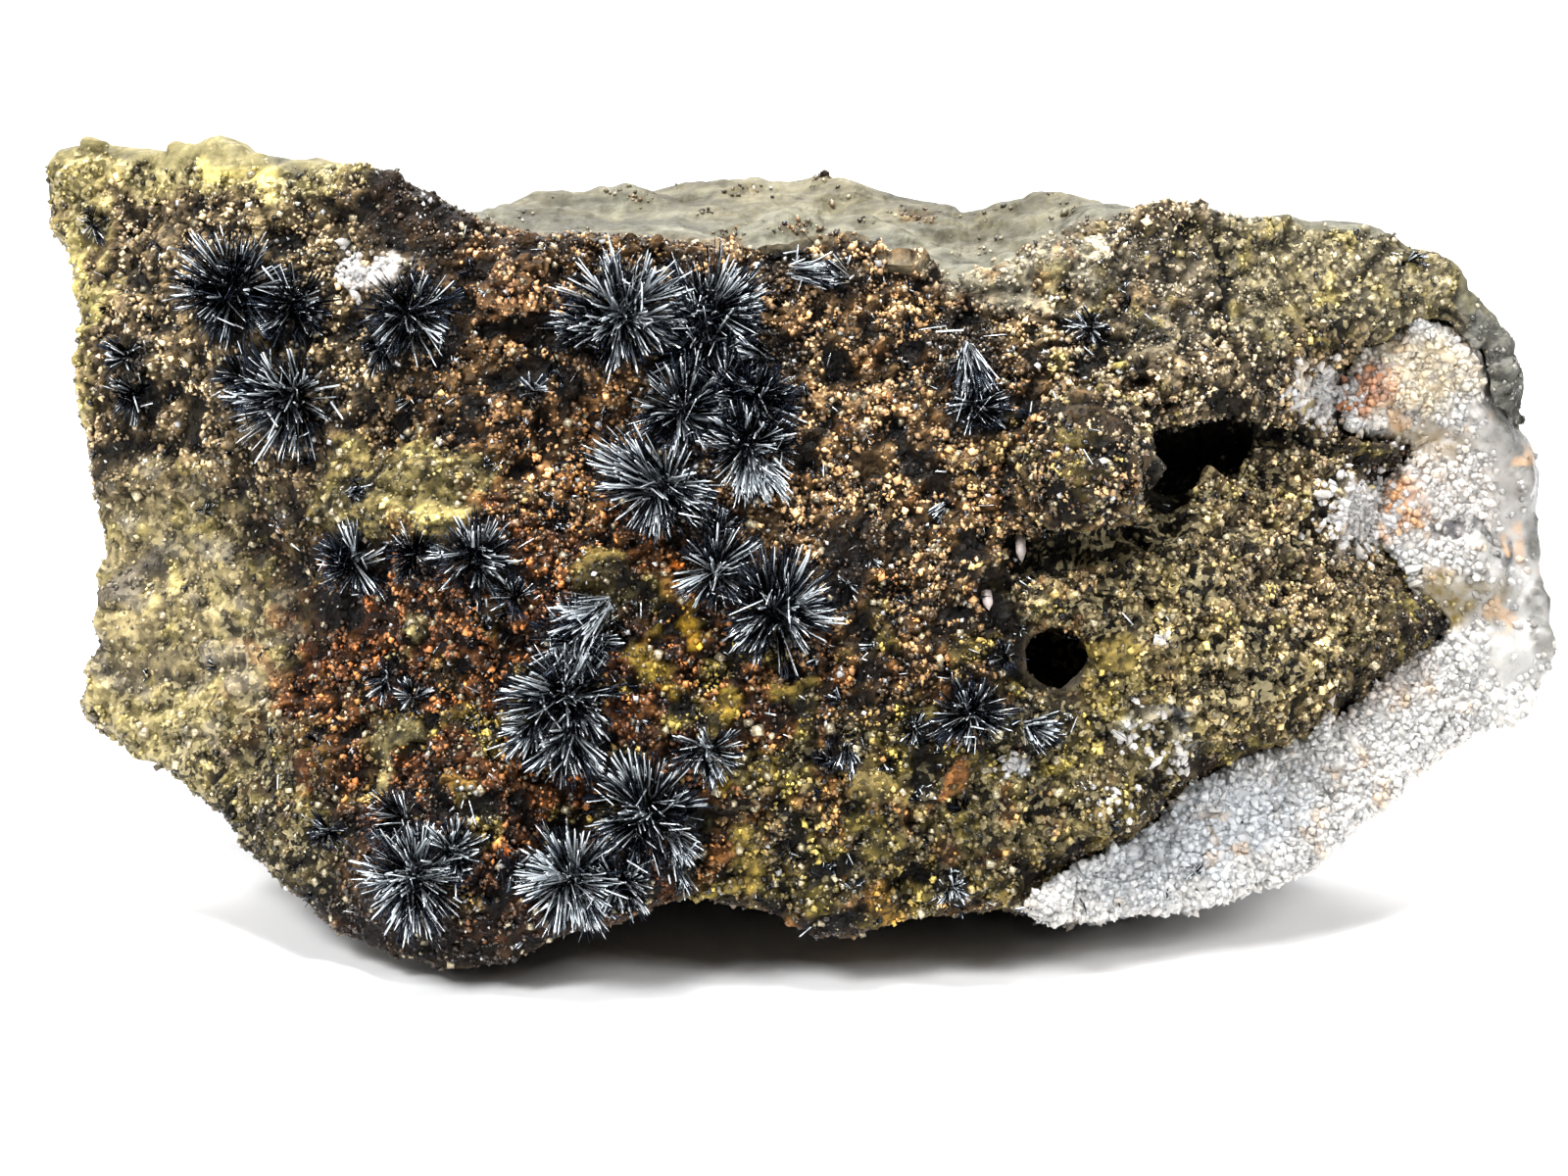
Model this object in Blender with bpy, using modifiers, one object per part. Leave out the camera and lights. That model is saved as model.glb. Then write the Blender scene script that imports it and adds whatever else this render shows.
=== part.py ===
"""A stibnite specimen: sprays of needles on a block of sulphide matrix with a quartz vein at one end.

The block is laid out in its face frame: X runs across the face, Y goes away from the viewer and Z runs
up the face, with the origin in the middle of the face. The stand empty then leans the block back and sets
it on its broken base, so that the finished specimen rests on Z = 0.
"""

import math
import random

import bmesh
import bpy
from mathutils import Matrix, Vector, noise
from mathutils.bvhtree import BVHTree

MM = 0.001

# Overall placing, in millimetres and degrees
FACE_LEAN = 13.0
FACE_HEIGHT = 27.4
FACE_FORWARD = -10.5
FACE_ACROSS = -0.9
BLOCK_FRONT = -7.0
BLOCK_BACK = 40.0

# Surface
VOXEL = 0.9
ROCK_TRIANGLES = 1950
CLEARANCE_TRIANGLES = 1600
COARSE_SIZE = 15.0
COARSE_RELIEF = 1.5
ROUGH_SIZE = 5.0
ROUGH_RELIEF = 0.9
BACK_CALM = 0.5
BASE_SPARE = 0.6
GAP = 0.3
SPRAY_CLEARANCE = 0.62

# The block's outline as seen square to the face: (across, up)
OUTLINE = [
    (-57.4, 36.2), (-48.4, 34.6), (-42.4, 33.6), (-39.7, 32.0), (-34.1, 32.5), (-28.5, 30.7),
    (-23.2, 27.6), (-21.9, 29.8), (-14.8, 31.0), (-5.7, 31.8), (-2.4, 35.4), (4.6, 35.2),
    (8.0, 33.4), (12.0, 33.6), (14.0, 34.8), (17.0, 34.8), (19.5, 32.0), (25.0, 29.4),
    (32.3, 28.3), (40.5, 29.0),
    (46.2, 27.2), (49.6, 26.0), (52.5, 23.4), (56.5, 18.0), (57.4, 12.7), (58.2, 6.0),
    (59.3, 0.7), (59.0, -7.4), (57.6, -9.6), (51.7, -12.2), (44.7, -16.5), (38.7, -19.7),
    (33.8, -22.3), (30.8, -24.4), (24.0, -24.7), (19.3, -25.1), (16.8, -24.0), (2.1, -25.4),
    (-2.9, -23.4), (-9.0, -23.0), (-17.6, -25.9), (-23.3, -28.2), (-28.7, -27.5), (-34.5, -25.2),
    (-36.8, -22.6), (-43.6, -16.6), (-49.4, -13.0), (-54.4, -10.4), (-54.9, -7.4), (-53.0, -4.4),
    (-52.6, 7.4), (-54.4, 14.8), (-55.2, 22.3), (-56.9, 28.6),
]

# What is broken out above the front rim, so that the top face runs back to the ridge
TOP_BREAK = [
    (-22.6, 26.1), (-12.9, 24.9), (-4.2, 24.1), (4.7, 23.3), (11.5, 22.3), (17.0, 22.4),
    (21.4, 25.1), (27.5, 29.2), (30.0, 60.0), (-19.0, 60.0),
]
TOP_SLOPE = 24.0
TOP_FRONT = 2.0

# Fracture faces: (a point on the face, the way it faces), both in the face frame
FRACTURES = [
    ((-33.5, 0.5, 0.0), (-0.48, -0.88, 0.04)),
    ((30.0, 0.5, 0.0), (0.40, -0.92, 0.06)),
    ((0.0, -1.8, 20.0), (0.0, -0.97, 0.25)),
    ((0.0, 29.5, 32.0), (0.05, 0.99, 0.08)),
    ((-24.0, 32.5, 0.0), (-0.25, 0.97, -0.04)),
    ((26.0, 31.5, 0.0), (0.27, 0.96, 0.09)),
    ((44.0, 14.0, 27.5), (0.22, 0.55, 0.80)),
    ((-44.0, 13.0, 35.4), (-0.02, 0.34, 0.94)),
    ((-46.5, 26.0, -9.5), (-0.62, 0.55, -0.56)),
    ((52.0, 20.0, -8.0), (0.66, 0.62, -0.42)),
]

# Cavities and cracks: (across, up, half width, half height, reach into the block, turn in degrees)
CAVITIES = {
    "hollow_under_ledge": (29.6, 10.2, 4.2, 2.2, 9.0, 8.0),
    "crack_beside_hollow": (34.6, 11.2, 3.2, 0.9, 6.0, 10.0),
    "round_hollow": (19.6, -5.2, 3.0, 2.3, 9.0, -20.0),
    "crack_under_knob": (19.5, 3.4, 5.0, 1.0, 5.0, 4.0),
    "crack_down_to_hollow": (15.4, -0.6, 1.3, 3.4, 4.5, 28.0),
    "hollow_under_nub": (-19.8, 19.4, 2.4, 1.4, 3.4, 10.0),
    "hollow_mid_face": (-5.0, -3.6, 2.6, 1.2, 3.0, -6.0),
}

# Swellings of the face: (across, up, half width, half height, how far it stands out)
SWELLINGS = {
    "knob": (22.0, 7.6, 5.4, 5.4, 5.2),
    "ledge": (31.0, 15.8, 8.5, 4.6, 3.0),
    "lump_over_hollow": (18.9, -0.6, 3.6, 2.8, 2.0),
    "gold_lobe": (29.0, -3.0, 11.0, 8.5, 2.4),
    "orange_nub": (-20.4, 22.0, 3.0, 2.4, 2.6),
    "top_shoulder": (16.0, 21.0, 8.0, 4.0, -1.6),
    "tan_plates": (-27.0, 6.5, 6.5, 4.0, 1.4),
    "lower_bulge": (-2.0, -13.0, 14.0, 7.0, 1.4),
    "foot_bulge": (-25.0, -20.0, 7.5, 6.0, 1.6),
    "upper_left_bulge": (-44.0, 20.0, 9.0, 8.0, 1.2),
    "saddle": (-12.0, 8.0, 9.0, 7.0, -1.0),
}
FRESH_BREAK = [(-60.0, 7.0), (-46.0, 7.6), (-38.5, 6.0), (-35.2, 1.0), (-35.4, -11.0), (-38.0, -16.0),
               (-60.0, -20.0)]
FRESH_BREAK_STEP = 1.7

# The quartz vein, seen square to the face, and how obliquely it runs back through the block
VEIN = [
    (46.1, 20.5), (39.0, 16.8), (38.2, 13.8), (39.8, 11.7), (47.8, 11.2), (42.8, 8.8), (41.7, 5.1),
    (44.7, 0.0), (49.3, -2.9), (43.9, -6.2), (38.5, -10.7), (29.6, -13.7), (25.2, -18.0),
    (21.5, -20.4), (16.8, -24.0), (13.5, -36.0), (80.0, -36.0), (80.0, 8.2), (56.4, 9.4),
    (51.8, 13.0), (50.1, 18.6),
]
VEIN_SLANT = 0.42
FLANK_START = 30.0
FLANK_SLOPE = 0.43
VEIN_STEP = 2.4
STEP_WIDTH = 1.2

# Quartz points on the vein: how many are tried, their size and the sides of their prism
QUARTZ_POINTS = 64
QUARTZ_RADIUS = (0.75, 1.35)
QUARTZ_LENGTH = (2.2, 4.2)
QUARTZ_SINK = 1.1
SOCKET_ROOM = 7.0
LONE_QUARTZ = (39.6, -11.2)

# Sprays of stibnite: each is a name and its balls as (across, up, radius, tilt across, tilt up)
SPRAYS = {
    "stibnite_upper_left": [(-41.8, 22.9, 4.3, -0.2, 0.2), (-36.7, 20.0, 2.9, 0.3, -0.1)],
    "stibnite_shoulder": [(-37.6, 13.9, 3.9, -0.3, -0.2)],
    "stibnite_dark_ball": [(-27.8, 19.7, 3.6, 0.1, 0.0)],
    "stibnite_left_edge": [(-50.6, 15.5, 2.3, -0.5, 0.0)],
    "stibnite_corner": [(-53.2, 27.8, 1.6, -0.4, 0.0)],
    "stibnite_mid_left": [(-31.2, 1.7, 3.4, -0.1, -0.2), (-26.4, 2.2, 2.6, 0.0, 0.1),
                          (-22.6, 2.2, 3.4, 0.2, 0.0)],
    "stibnite_blade": [(-31.6, 6.7, 1.5, 0.0, 0.2)],
    "stibnite_chain": [(-14.6, 20.2, 3.9, -0.4, 0.1), (-11.0, 22.4, 2.7, -0.1, 0.5),
                       (-8.0, 20.2, 3.6, 0.0, 0.2), (-2.6, 21.2, 2.6, 0.5, 0.5),
                       (-5.0, 17.6, 3.7, 0.2, -0.1), (-7.0, 13.9, 3.6, -0.2, 0.0),
                       (-3.2, 11.9, 3.5, 0.3, 0.0), (-9.4, 8.8, 3.7, -0.5, 0.3),
                       (-2.4, 8.4, 3.4, 0.2, -0.6), (-7.0, 5.4, 3.1, 0.0, -0.6),
                       (-4.8, 2.4, 2.7, 0.2, 0.0), (-0.6, -1.2, 4.3, 0.2, -0.1)],
    "stibnite_side_twig": [(1.2, 14.0, 1.4, 0.5, 0.2)],
    "stibnite_high_fan": [(2.6, 22.6, 1.9, 0.4, 0.3)],
    "stibnite_small_ball": [(-19.3, -0.4, 1.8, -0.1, 0.2)],
    "stibnite_great_ball": [(-14.6, -3.2, 3.0, 0.2, 0.4), (-15.6, -7.6, 4.6, 0.0, 0.0),
                            (-15.0, -11.6, 3.2, 0.0, -0.6)],
    "stibnite_arc": [(-5.0, -11.6, 2.3, 0.2, 0.3)],
    "stibnite_low_centre": [(-8.2, -16.4, 3.3, 0.2, 0.3), (-7.0, -19.4, 2.6, 0.3, -0.5),
                            (-12.4, -20.0, 3.0, -0.2, 0.0), (-15.8, -20.4, 3.7, -0.2, -0.2)],
    "stibnite_foot": [(-26.8, -17.6, 3.1, 0.1, 0.4), (-26.6, -21.0, 4.1, 0.0, -0.2)],
    "stibnite_right_fan": [(14.3, 14.4, 3.0, 0.1, -0.4)],
    "stibnite_right_speck": [(22.2, 18.9, 1.3, 0.1, 0.1)],
    "stibnite_right_twig": [(12.0, 6.0, 1.4, 0.2, 0.1)],
    "stibnite_lower_right": [(13.5, -8.9, 2.7, 0.1, 0.0), (9.4, -9.9, 1.4, -0.2, 0.0)],
    "stibnite_blue_fan": [(18.6, -10.4, 1.8, 0.1, -0.3)],
    "stibnite_hollow_edge": [(15.2, -4.9, 1.2, -0.1, 0.2)],
    "stibnite_silver_fan": [(4.6, -12.0, 1.6, 0.1, -0.4)],
    "stibnite_bottom_tuft": [(11.8, -21.6, 1.3, 0.0, 0.0)],
    "stibnite_low_right": [(11.6, -16.0, 1.3, 0.2, 0.2)],
    "stibnite_rust_tuft": [(-28.6, -7.0, 1.5, -0.2, 0.0)],
    "stibnite_break_tuft": [(-42.6, 5.4, 1.2, 0.0, 0.2)],
    "stibnite_left_speck": [(-18.4, 14.0, 1.3, 0.0, 0.2)],
    "stibnite_near_nub": [(-13.4, 13.8, 1.3, -0.1, 0.0)],
    "stibnite_low_left": [(-33.2, -17.4, 1.5, -0.2, 0.0)],
    "stibnite_far_right": [(45.8, 24.2, 1.3, 0.2, 0.2)],
}
SMALL_SPRAY = 2.4
SPINE_CORE = 0.5
SPINE_SPREAD = 0.1
CRUMB_FACES = 24
SPRAY_LIFT = 0.12

SULPHIDE = ("sulphide_matrix", (0.20, 0.13, 0.06), 0.55, 0.35)
QUARTZ = ("quartz", (0.82, 0.80, 0.78), 0.35, 0.0)
STIBNITE = ("stibnite", (0.05, 0.055, 0.07), 0.25, 0.9)


# Scene and object helpers
def clear_scene():
    for old in list(bpy.data.objects):
        bpy.data.objects.remove(old, do_unlink=True)


def new_collection(name, shown=True):
    made = bpy.data.collections.new(name)
    made.hide_render = not shown
    bpy.context.scene.collection.children.link(made)
    return made


def new_material(spec):
    name, colour, roughness, metallic = spec
    made = bpy.data.materials.new(name)
    made.use_nodes = True
    shader = made.node_tree.nodes["Principled BSDF"]
    shader.inputs["Base Color"].default_value = (*colour, 1.0)
    shader.inputs["Roughness"].default_value = roughness
    shader.inputs["Metallic"].default_value = metallic
    return made


def new_object(name, mesh, collection):
    made = bpy.data.objects.new(name, mesh)
    collection.objects.link(made)
    return made


def new_cutter(name, mesh):
    made = new_object(name, mesh, CUTTERS)
    made.hide_render = True
    made.display_type = "WIRE"
    return made


def evaluated_mesh(source):
    """The object's mesh as its modifiers leave it, in the face frame, with a curve's caps welded."""
    bpy.context.view_layer.update()
    graph = bpy.context.evaluated_depsgraph_get()
    mesh = bpy.data.meshes.new_from_object(source.evaluated_get(graph))
    mesh.transform(source.matrix_world)
    bm = bmesh.new()
    bm.from_mesh(mesh)
    bmesh.ops.remove_doubles(bm, verts=bm.verts, dist=0.001 * MM)
    bm.to_mesh(mesh)
    bm.free()
    return mesh


def add_boolean(target, cutter, operation="DIFFERENCE"):
    cut = target.modifiers.new(f"{operation.lower()}_{cutter.name}", "BOOLEAN")
    cut.operation = operation
    cut.object = cutter
    cut.solver = "EXACT"
    return cut


def volume(mesh):
    bm = bmesh.new()
    bm.from_mesh(mesh)
    result = bm.calc_volume()
    bm.free()
    return result


def grow_onto(target, crystal):
    """Joins a crystal to the target, unless the two only graze each other and the join would fail."""
    before = volume(evaluated_mesh(target))
    join = add_boolean(target, crystal, "UNION")
    if volume(evaluated_mesh(target)) < before:
        target.modifiers.remove(join)


def flat_slab(name, outline, front, back):
    """A flat outline in the XZ plane, extruded from the depth front to the depth back."""
    curve = bpy.data.curves.new(name, "CURVE")
    curve.dimensions = "2D"
    curve.fill_mode = "BOTH"
    curve.extrude = (back - front) / 2 * MM
    spline = curve.splines.new("POLY")
    spline.points.add(len(outline) - 1)
    for point, (across, up) in zip(spline.points, outline):
        point.co = (across * MM, up * MM, 0.0, 1.0)
    spline.use_cyclic_u = True
    outline_object = new_cutter(name + "_outline", curve)
    outline_object.location = (0.0, (front + back) / 2 * MM, 0.0)
    outline_object.rotation_euler = (math.radians(90.0), 0.0, 0.0)
    mesh = evaluated_mesh(outline_object)
    bpy.data.objects.remove(outline_object, do_unlink=True)
    bm = bmesh.new()
    bm.from_mesh(mesh)
    bmesh.ops.recalc_face_normals(bm, faces=bm.faces)
    bm.to_mesh(mesh)
    bm.free()
    return new_cutter(name, mesh)


# Where a point lies against an outline
def edge_distance(outline, across, up):
    """How far inside the outline a point is, in millimetres: negative outside it."""
    point = Vector((across, up))
    nearest = 1000.0
    inside = False
    for (ax, az), (bx, bz) in zip(outline, outline[1:] + outline[:1]):
        start = Vector((ax, az))
        run = Vector((bx, bz)) - start
        share = min(1.0, max(0.0, (point - start).dot(run) / run.length_squared))
        nearest = min(nearest, (point - start - run * share).length)
        if (az > up) != (bz > up) and across < ax + (up - az) / (bz - az) * (bx - ax):
            inside = not inside
    return nearest if inside else -nearest


def ramp(value, low, high):
    share = min(1.0, max(0.0, (value - low) / (high - low)))
    return share * share * (3.0 - 2.0 * share)


# The block
def chip(bm, point, facing):
    """Breaks off what lies outside a plane and closes the break."""
    geometry = bm.verts[:] + bm.edges[:] + bm.faces[:]
    cut = bmesh.ops.bisect_plane(
        bm, geom=geometry, dist=0.0001 * MM, plane_co=point, plane_no=facing, clear_outer=True)
    edges = [e for e in cut["geom_cut"] if isinstance(e, bmesh.types.BMEdge)]
    bmesh.ops.edgenet_fill(bm, edges=edges)


def ground_plane(height):
    """A point and the downward normal of the level plane at a height above the ground."""
    lean = math.radians(FACE_LEAN)
    drop = (FACE_HEIGHT - height) * MM
    return (Vector((0.0, drop * math.sin(lean), -drop * math.cos(lean))),
            Vector((0.0, math.sin(lean), -math.cos(lean))))


def rough_block():
    """The outline slab with its top broken back, its fracture faces, its base and its cavities."""
    slab = flat_slab("block_slab", OUTLINE, BLOCK_FRONT, BLOCK_BACK)
    top = flat_slab("top_break", TOP_BREAK, TOP_FRONT, BLOCK_BACK + 40.0)
    pivot = Vector((0.0, TOP_FRONT, 24.0)) * MM
    slope = Matrix.Rotation(math.radians(TOP_SLOPE), 4, "X")
    top.matrix_world = Matrix.Translation(pivot) @ slope @ Matrix.Translation(-pivot)
    add_boolean(slab, top)
    mesh = evaluated_mesh(slab)
    bm = bmesh.new()
    bm.from_mesh(mesh)
    for point, facing in FRACTURES:
        chip(bm, Vector(point) * MM, Vector(facing).normalized())
    chip(bm, *ground_plane(-BASE_SPARE))
    bmesh.ops.triangulate(bm, faces=bm.faces)
    bmesh.ops.recalc_face_normals(bm, faces=bm.faces)
    bm.to_mesh(mesh)
    bm.free()
    return new_cutter("rough_block", mesh)


def cut_cavities(block):
    for name, (across, up, half_width, half_height, reach, turn) in CAVITIES.items():
        mesh = bpy.data.meshes.new(name)
        bm = bmesh.new()
        bmesh.ops.create_icosphere(bm, subdivisions=3, radius=1.0)
        for vert in bm.verts:
            vert.co *= 1.0 + 0.22 * noise.noise(vert.co * 1.4 + Vector((across, up, 0.0)))
        shape = Matrix.Diagonal((half_width * MM, reach * MM, half_height * MM, 1.0))
        place = Matrix.Translation(Vector((across, 0.0, up)) * MM)
        bm.transform(place @ Matrix.Rotation(math.radians(-turn), 4, "Y") @ shape)
        bm.to_mesh(mesh)
        bm.free()
        add_boolean(block, new_cutter(name, mesh))


def remeshed(source, name):
    remesh = source.modifiers.new("even_surface", "REMESH")
    remesh.mode = "VOXEL"
    remesh.voxel_size = VOXEL * MM
    return new_cutter(name, evaluated_mesh(source))


def swelling(across, up):
    """How far the face stands out at a place, from its named swellings, in millimetres."""
    total = 0.0
    for at_across, at_up, half_width, half_height, proud in SWELLINGS.values():
        reach = math.hypot((across - at_across) / half_width, (up - at_up) / half_height)
        total += proud * (1.0 - ramp(reach, 0.5, 1.15))
    return total


def chipped_noise(place, size, seed):
    """Facetted roughness from -1 to 1: ridges between flat chips of about this size."""
    point = place / size + Vector((seed, 0.0, 0.0))
    near, far = noise.voronoi(point)[0][:2]
    return 0.9 * (far - near) - 0.45 + 0.55 * noise.noise(point * 1.7)


def weather(rock):
    """Moves every vertex of the block by the face's relief and by the roughness of broken rock."""
    normals = [vert.normal.copy() for vert in rock.data.vertices]
    for vert, normal in zip(rock.data.vertices, normals):
        place = vert.co / MM
        out = COARSE_RELIEF * chipped_noise(place, COARSE_SIZE, 3.0)
        out += ROUGH_RELIEF * chipped_noise(place, ROUGH_SIZE, 8.0)
        out *= 1.0 - BACK_CALM * ramp(normal.y, 0.2, 0.6)
        towards_viewer = ramp(-normal.y, 0.15, 0.75)
        if towards_viewer > 0.0:
            face = swelling(place.x, place.z)
            face -= FRESH_BREAK_STEP * ramp(edge_distance(FRESH_BREAK, place.x, place.z), -0.4, STEP_WIDTH)
            face -= VEIN_STEP * ramp(edge_distance(VEIN, place.x, place.z), -0.5, STEP_WIDTH)
            out += face * towards_viewer
        vert.co += normal * out * MM


def thinned(source, name, triangles):
    """The same surface in about this many triangles, with its base cut flat at the ground."""
    thin = source.modifiers.new("thin", "DECIMATE")
    thin.ratio = triangles / (2.0 * len(source.data.polygons))
    thin.use_collapse_triangulate = True
    mesh = evaluated_mesh(source)
    source.modifiers.remove(thin)
    bm = bmesh.new()
    bm.from_mesh(mesh)
    chip(bm, *ground_plane(0.0))
    bmesh.ops.triangulate(bm, faces=bm.faces)
    bm.to_mesh(mesh)
    bm.free()
    return new_cutter(name, mesh)


def swollen(source, name, by, triangles):
    """A copy of the surface standing off it by a clearance."""
    mesh = source.data.copy()
    normals = [vert.normal.copy() for vert in mesh.vertices]
    for vert, normal in zip(mesh.vertices, normals):
        vert.co += normal * by * MM
    copy = new_cutter(name + "_dense", mesh)
    thin = copy.modifiers.new("thin", "DECIMATE")
    thin.ratio = triangles / (2.0 * len(mesh.polygons))
    thin.use_collapse_triangulate = True
    return new_cutter(name, evaluated_mesh(copy))


def vein_cutter(name, grow):
    """The vein's slanting prism through the block, its outline grown by the gap for the matrix."""
    outline = []
    for before, here, after in zip(VEIN[-1:] + VEIN[:-1], VEIN, VEIN[1:] + VEIN[:1]):
        into = (Vector(here) - Vector(before)).normalized()
        out_of = (Vector(after) - Vector(here)).normalized()
        corner = Vector((into.y + out_of.y, -into.x - out_of.x)) / max(0.2, 1.0 + into.dot(out_of))
        depth = FLANK_SLOPE * max(0.0, here[0] - FLANK_START)
        outline.append((here[0] + corner.x * grow - VEIN_SLANT * depth, here[1] + corner.y * grow))
    cutter = flat_slab(name, outline, -30.0, 90.0)
    slant = Matrix.Identity(4)
    slant[0][1] = VEIN_SLANT
    cutter.data.transform(slant)
    return cutter


# Crystals
def surface_under(tree, across, up):
    """Where a line square to the face meets the block, and the block's outward normal there."""
    start = Vector((across, -60.0, up)) * MM
    place, normal, _, _ = tree.ray_cast(start, Vector((0.0, 1.0, 0.0)))
    return place, normal


def connected_pieces(mesh):
    """The connected pieces of a mesh as meshes of their own, the largest first."""
    bm = bmesh.new()
    bm.from_mesh(mesh)
    bm.verts.ensure_lookup_table()
    left = set(range(len(bm.verts)))
    pieces = []
    while left:
        piece = {left.pop()}
        search = set(piece)
        while search:
            search = {e.other_vert(bm.verts[i]).index for i in search for e in bm.verts[i].link_edges}
            search &= left
            left -= search
            piece |= search
        pieces.append(piece)
    bm.free()
    meshes = []
    for piece in sorted(pieces, key=len, reverse=True):
        bm = bmesh.new()
        bm.from_mesh(mesh)
        bmesh.ops.delete(bm, geom=[v for v in bm.verts if v.index not in piece], context="VERTS")
        meshes.append(bpy.data.meshes.new(mesh.name))
        bm.to_mesh(meshes[-1])
        bm.free()
    return meshes


def spiny_ball(bm, centre, axis, radius, neighbours, chance):
    """A ball whose outer faces are drawn out to spines, except into the balls beside it."""
    detail = 1 if radius < SMALL_SPRAY else 2
    made = bmesh.ops.create_icosphere(bm, subdivisions=detail, radius=SPINE_CORE * radius * MM)
    turn = Matrix.Rotation(chance.uniform(0.0, 6.0), 4, Vector((0.3, 0.5, 0.8)).normalized())
    bmesh.ops.transform(bm, matrix=turn, verts=made["verts"])
    faces = {face for vert in made["verts"] for face in vert.link_faces}
    for face in sorted(faces, key=lambda f: tuple(round(c, 9) for c in f.calc_center_median())):
        outward = face.calc_center_median().normalized()
        tip = outward * radius * MM * chance.uniform(0.86, 1.0)
        if outward.dot(axis) < SPINE_SPREAD:
            continue
        if any((centre + tip - other).length < 0.7 * reach for other, reach in neighbours):
            continue
        poked = bmesh.ops.poke(bm, faces=[face], offset=0.0)["verts"]
        poked[0].co = tip
        made["verts"] += poked
    bmesh.ops.translate(bm, vec=centre, verts=made["verts"])


def make_spray(name, balls, tree, clearance, chance):
    """A cluster of stibnite: balls that meet are joined in one solid, cut clear of the rock."""
    placed = []
    for across, up, radius, tilt_across, tilt_up in balls:
        place, normal = surface_under(tree, across, up)
        axis = (normal + Vector((tilt_across, -1.0, tilt_up))).normalized()
        placed.append((place - Vector((0.0, 1.0, 0.0)) * SPRAY_LIFT * radius * MM, axis, radius))
    parts = []
    for number, (centre, axis, radius) in enumerate(placed):
        neighbours = [(other, reach * MM) for other, _, reach in placed if other != centre]
        mesh = bpy.data.meshes.new(f"{name}_ball_{number}")
        bm = bmesh.new()
        spiny_ball(bm, centre, axis, radius, neighbours, chance)
        bm.to_mesh(mesh)
        bm.free()
        parts.append(new_cutter(f"{name}_ball_{number}", mesh))
    for other in parts[1:]:
        grow_onto(parts[0], other)
    add_boolean(parts[0], clearance)
    pieces = [m for m in connected_pieces(evaluated_mesh(parts[0])) if len(m.polygons) > CRUMB_FACES]
    for number, piece in enumerate(pieces, 1):
        add_node(name if number == 1 else f"{name}_{number}", piece, STIBNITE_FINISH)


def quartz_point(bm, foot, axis, radius, length):
    """A hexagonal prism ending in a six-sided point."""
    prism = length * 0.62
    made = bmesh.ops.create_cone(
        bm, cap_ends=True, segments=6, radius1=radius, radius2=radius * 0.92, depth=prism)["verts"]
    top = max(vert.co.z for vert in made)
    cap = [f for f in bm.faces if all(v in made and v.co.z > top - 1e-9 for v in f.verts)]
    poked = bmesh.ops.poke(bm, faces=cap, offset=0.0)["verts"]
    poked[0].co = Vector((0.0, 0.0, top + length - prism))
    made = made + poked
    turn = axis.to_track_quat("Z", "Y").to_matrix().to_4x4()
    bmesh.ops.transform(
        bm, matrix=Matrix.Translation(foot + axis * prism / 2) @ turn, verts=made)


def quartz_points(tree, chance):
    """Quartz points that stand on the vein where the face shows it, and sockets for the matrix."""
    points, sockets = [], []
    places = [LONE_QUARTZ]
    for _ in range(QUARTZ_POINTS):
        places.append((chance.uniform(15.0, 58.0), chance.uniform(-26.0, 18.0)))
    for number, (across, up) in enumerate(places):
        room = min(edge_distance(VEIN, across, up), edge_distance(OUTLINE, across, up))
        if number and room < 1.0:
            continue
        place, normal = surface_under(tree, across, up)
        if place is None or normal.y > -0.3:
            continue
        lean = Vector((chance.uniform(-0.6, 0.6), -0.6, chance.uniform(-0.5, 0.6)))
        axis = (normal + lean).normalized() if number else Vector((0.3, -0.55, 0.78)).normalized()
        radius = chance.uniform(*QUARTZ_RADIUS)
        length = chance.uniform(*QUARTZ_LENGTH) + (2.6 if number == 0 else 0.0)
        for name, grow, made in (("quartz_point", 0.0, points), ("socket", GAP, sockets)):
            if grow and room > SOCKET_ROOM:
                continue
            mesh = bpy.data.meshes.new(f"{name}_{number}")
            bm = bmesh.new()
            foot = place - axis * (QUARTZ_SINK + grow) * MM
            quartz_point(bm, foot, axis, (radius + grow) * MM, (length + 3.0 * grow) * MM)
            bm.to_mesh(mesh)
            bm.free()
            made.append(new_cutter(f"{name}_{number}", mesh))
    return points, sockets


def add_node(name, mesh, finish):
    """One node of the specimen, leaning with the stand."""
    mesh.materials.clear()
    mesh.materials.append(finish)
    new_object(name, mesh, SPECIMEN).parent = STAND


def main():
    chance = random.Random(11)
    block = rough_block()
    cut_cavities(block)
    rock = remeshed(block, "weathered_rock")
    weather(rock)
    thin_rock = thinned(rock, "thin_rock", ROCK_TRIANGLES)
    clearance = swollen(rock, "rock_clearance", SPRAY_CLEARANCE, CLEARANCE_TRIANGLES)
    tree = BVHTree.FromPolygons(
        [v.co for v in thin_rock.data.vertices], [p.vertices for p in thin_rock.data.polygons])

    points, sockets = quartz_points(tree, chance)
    quartz = new_cutter("quartz_cut", thin_rock.data.copy())
    add_boolean(quartz, vein_cutter("vein", 0.0), "INTERSECT")
    for point in points:
        grow_onto(quartz, point)
    add_node("quartz", connected_pieces(evaluated_mesh(quartz))[0], QUARTZ_FINISH)

    matrix = new_cutter("matrix_cut", thin_rock.data.copy())
    add_boolean(matrix, vein_cutter("vein_and_gap", GAP))
    for socket in sockets:
        add_boolean(matrix, socket)
    add_node("matrix", connected_pieces(evaluated_mesh(matrix))[0], SULPHIDE_FINISH)

    for name, balls in SPRAYS.items():
        make_spray(name, balls, tree, clearance, chance)


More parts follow.
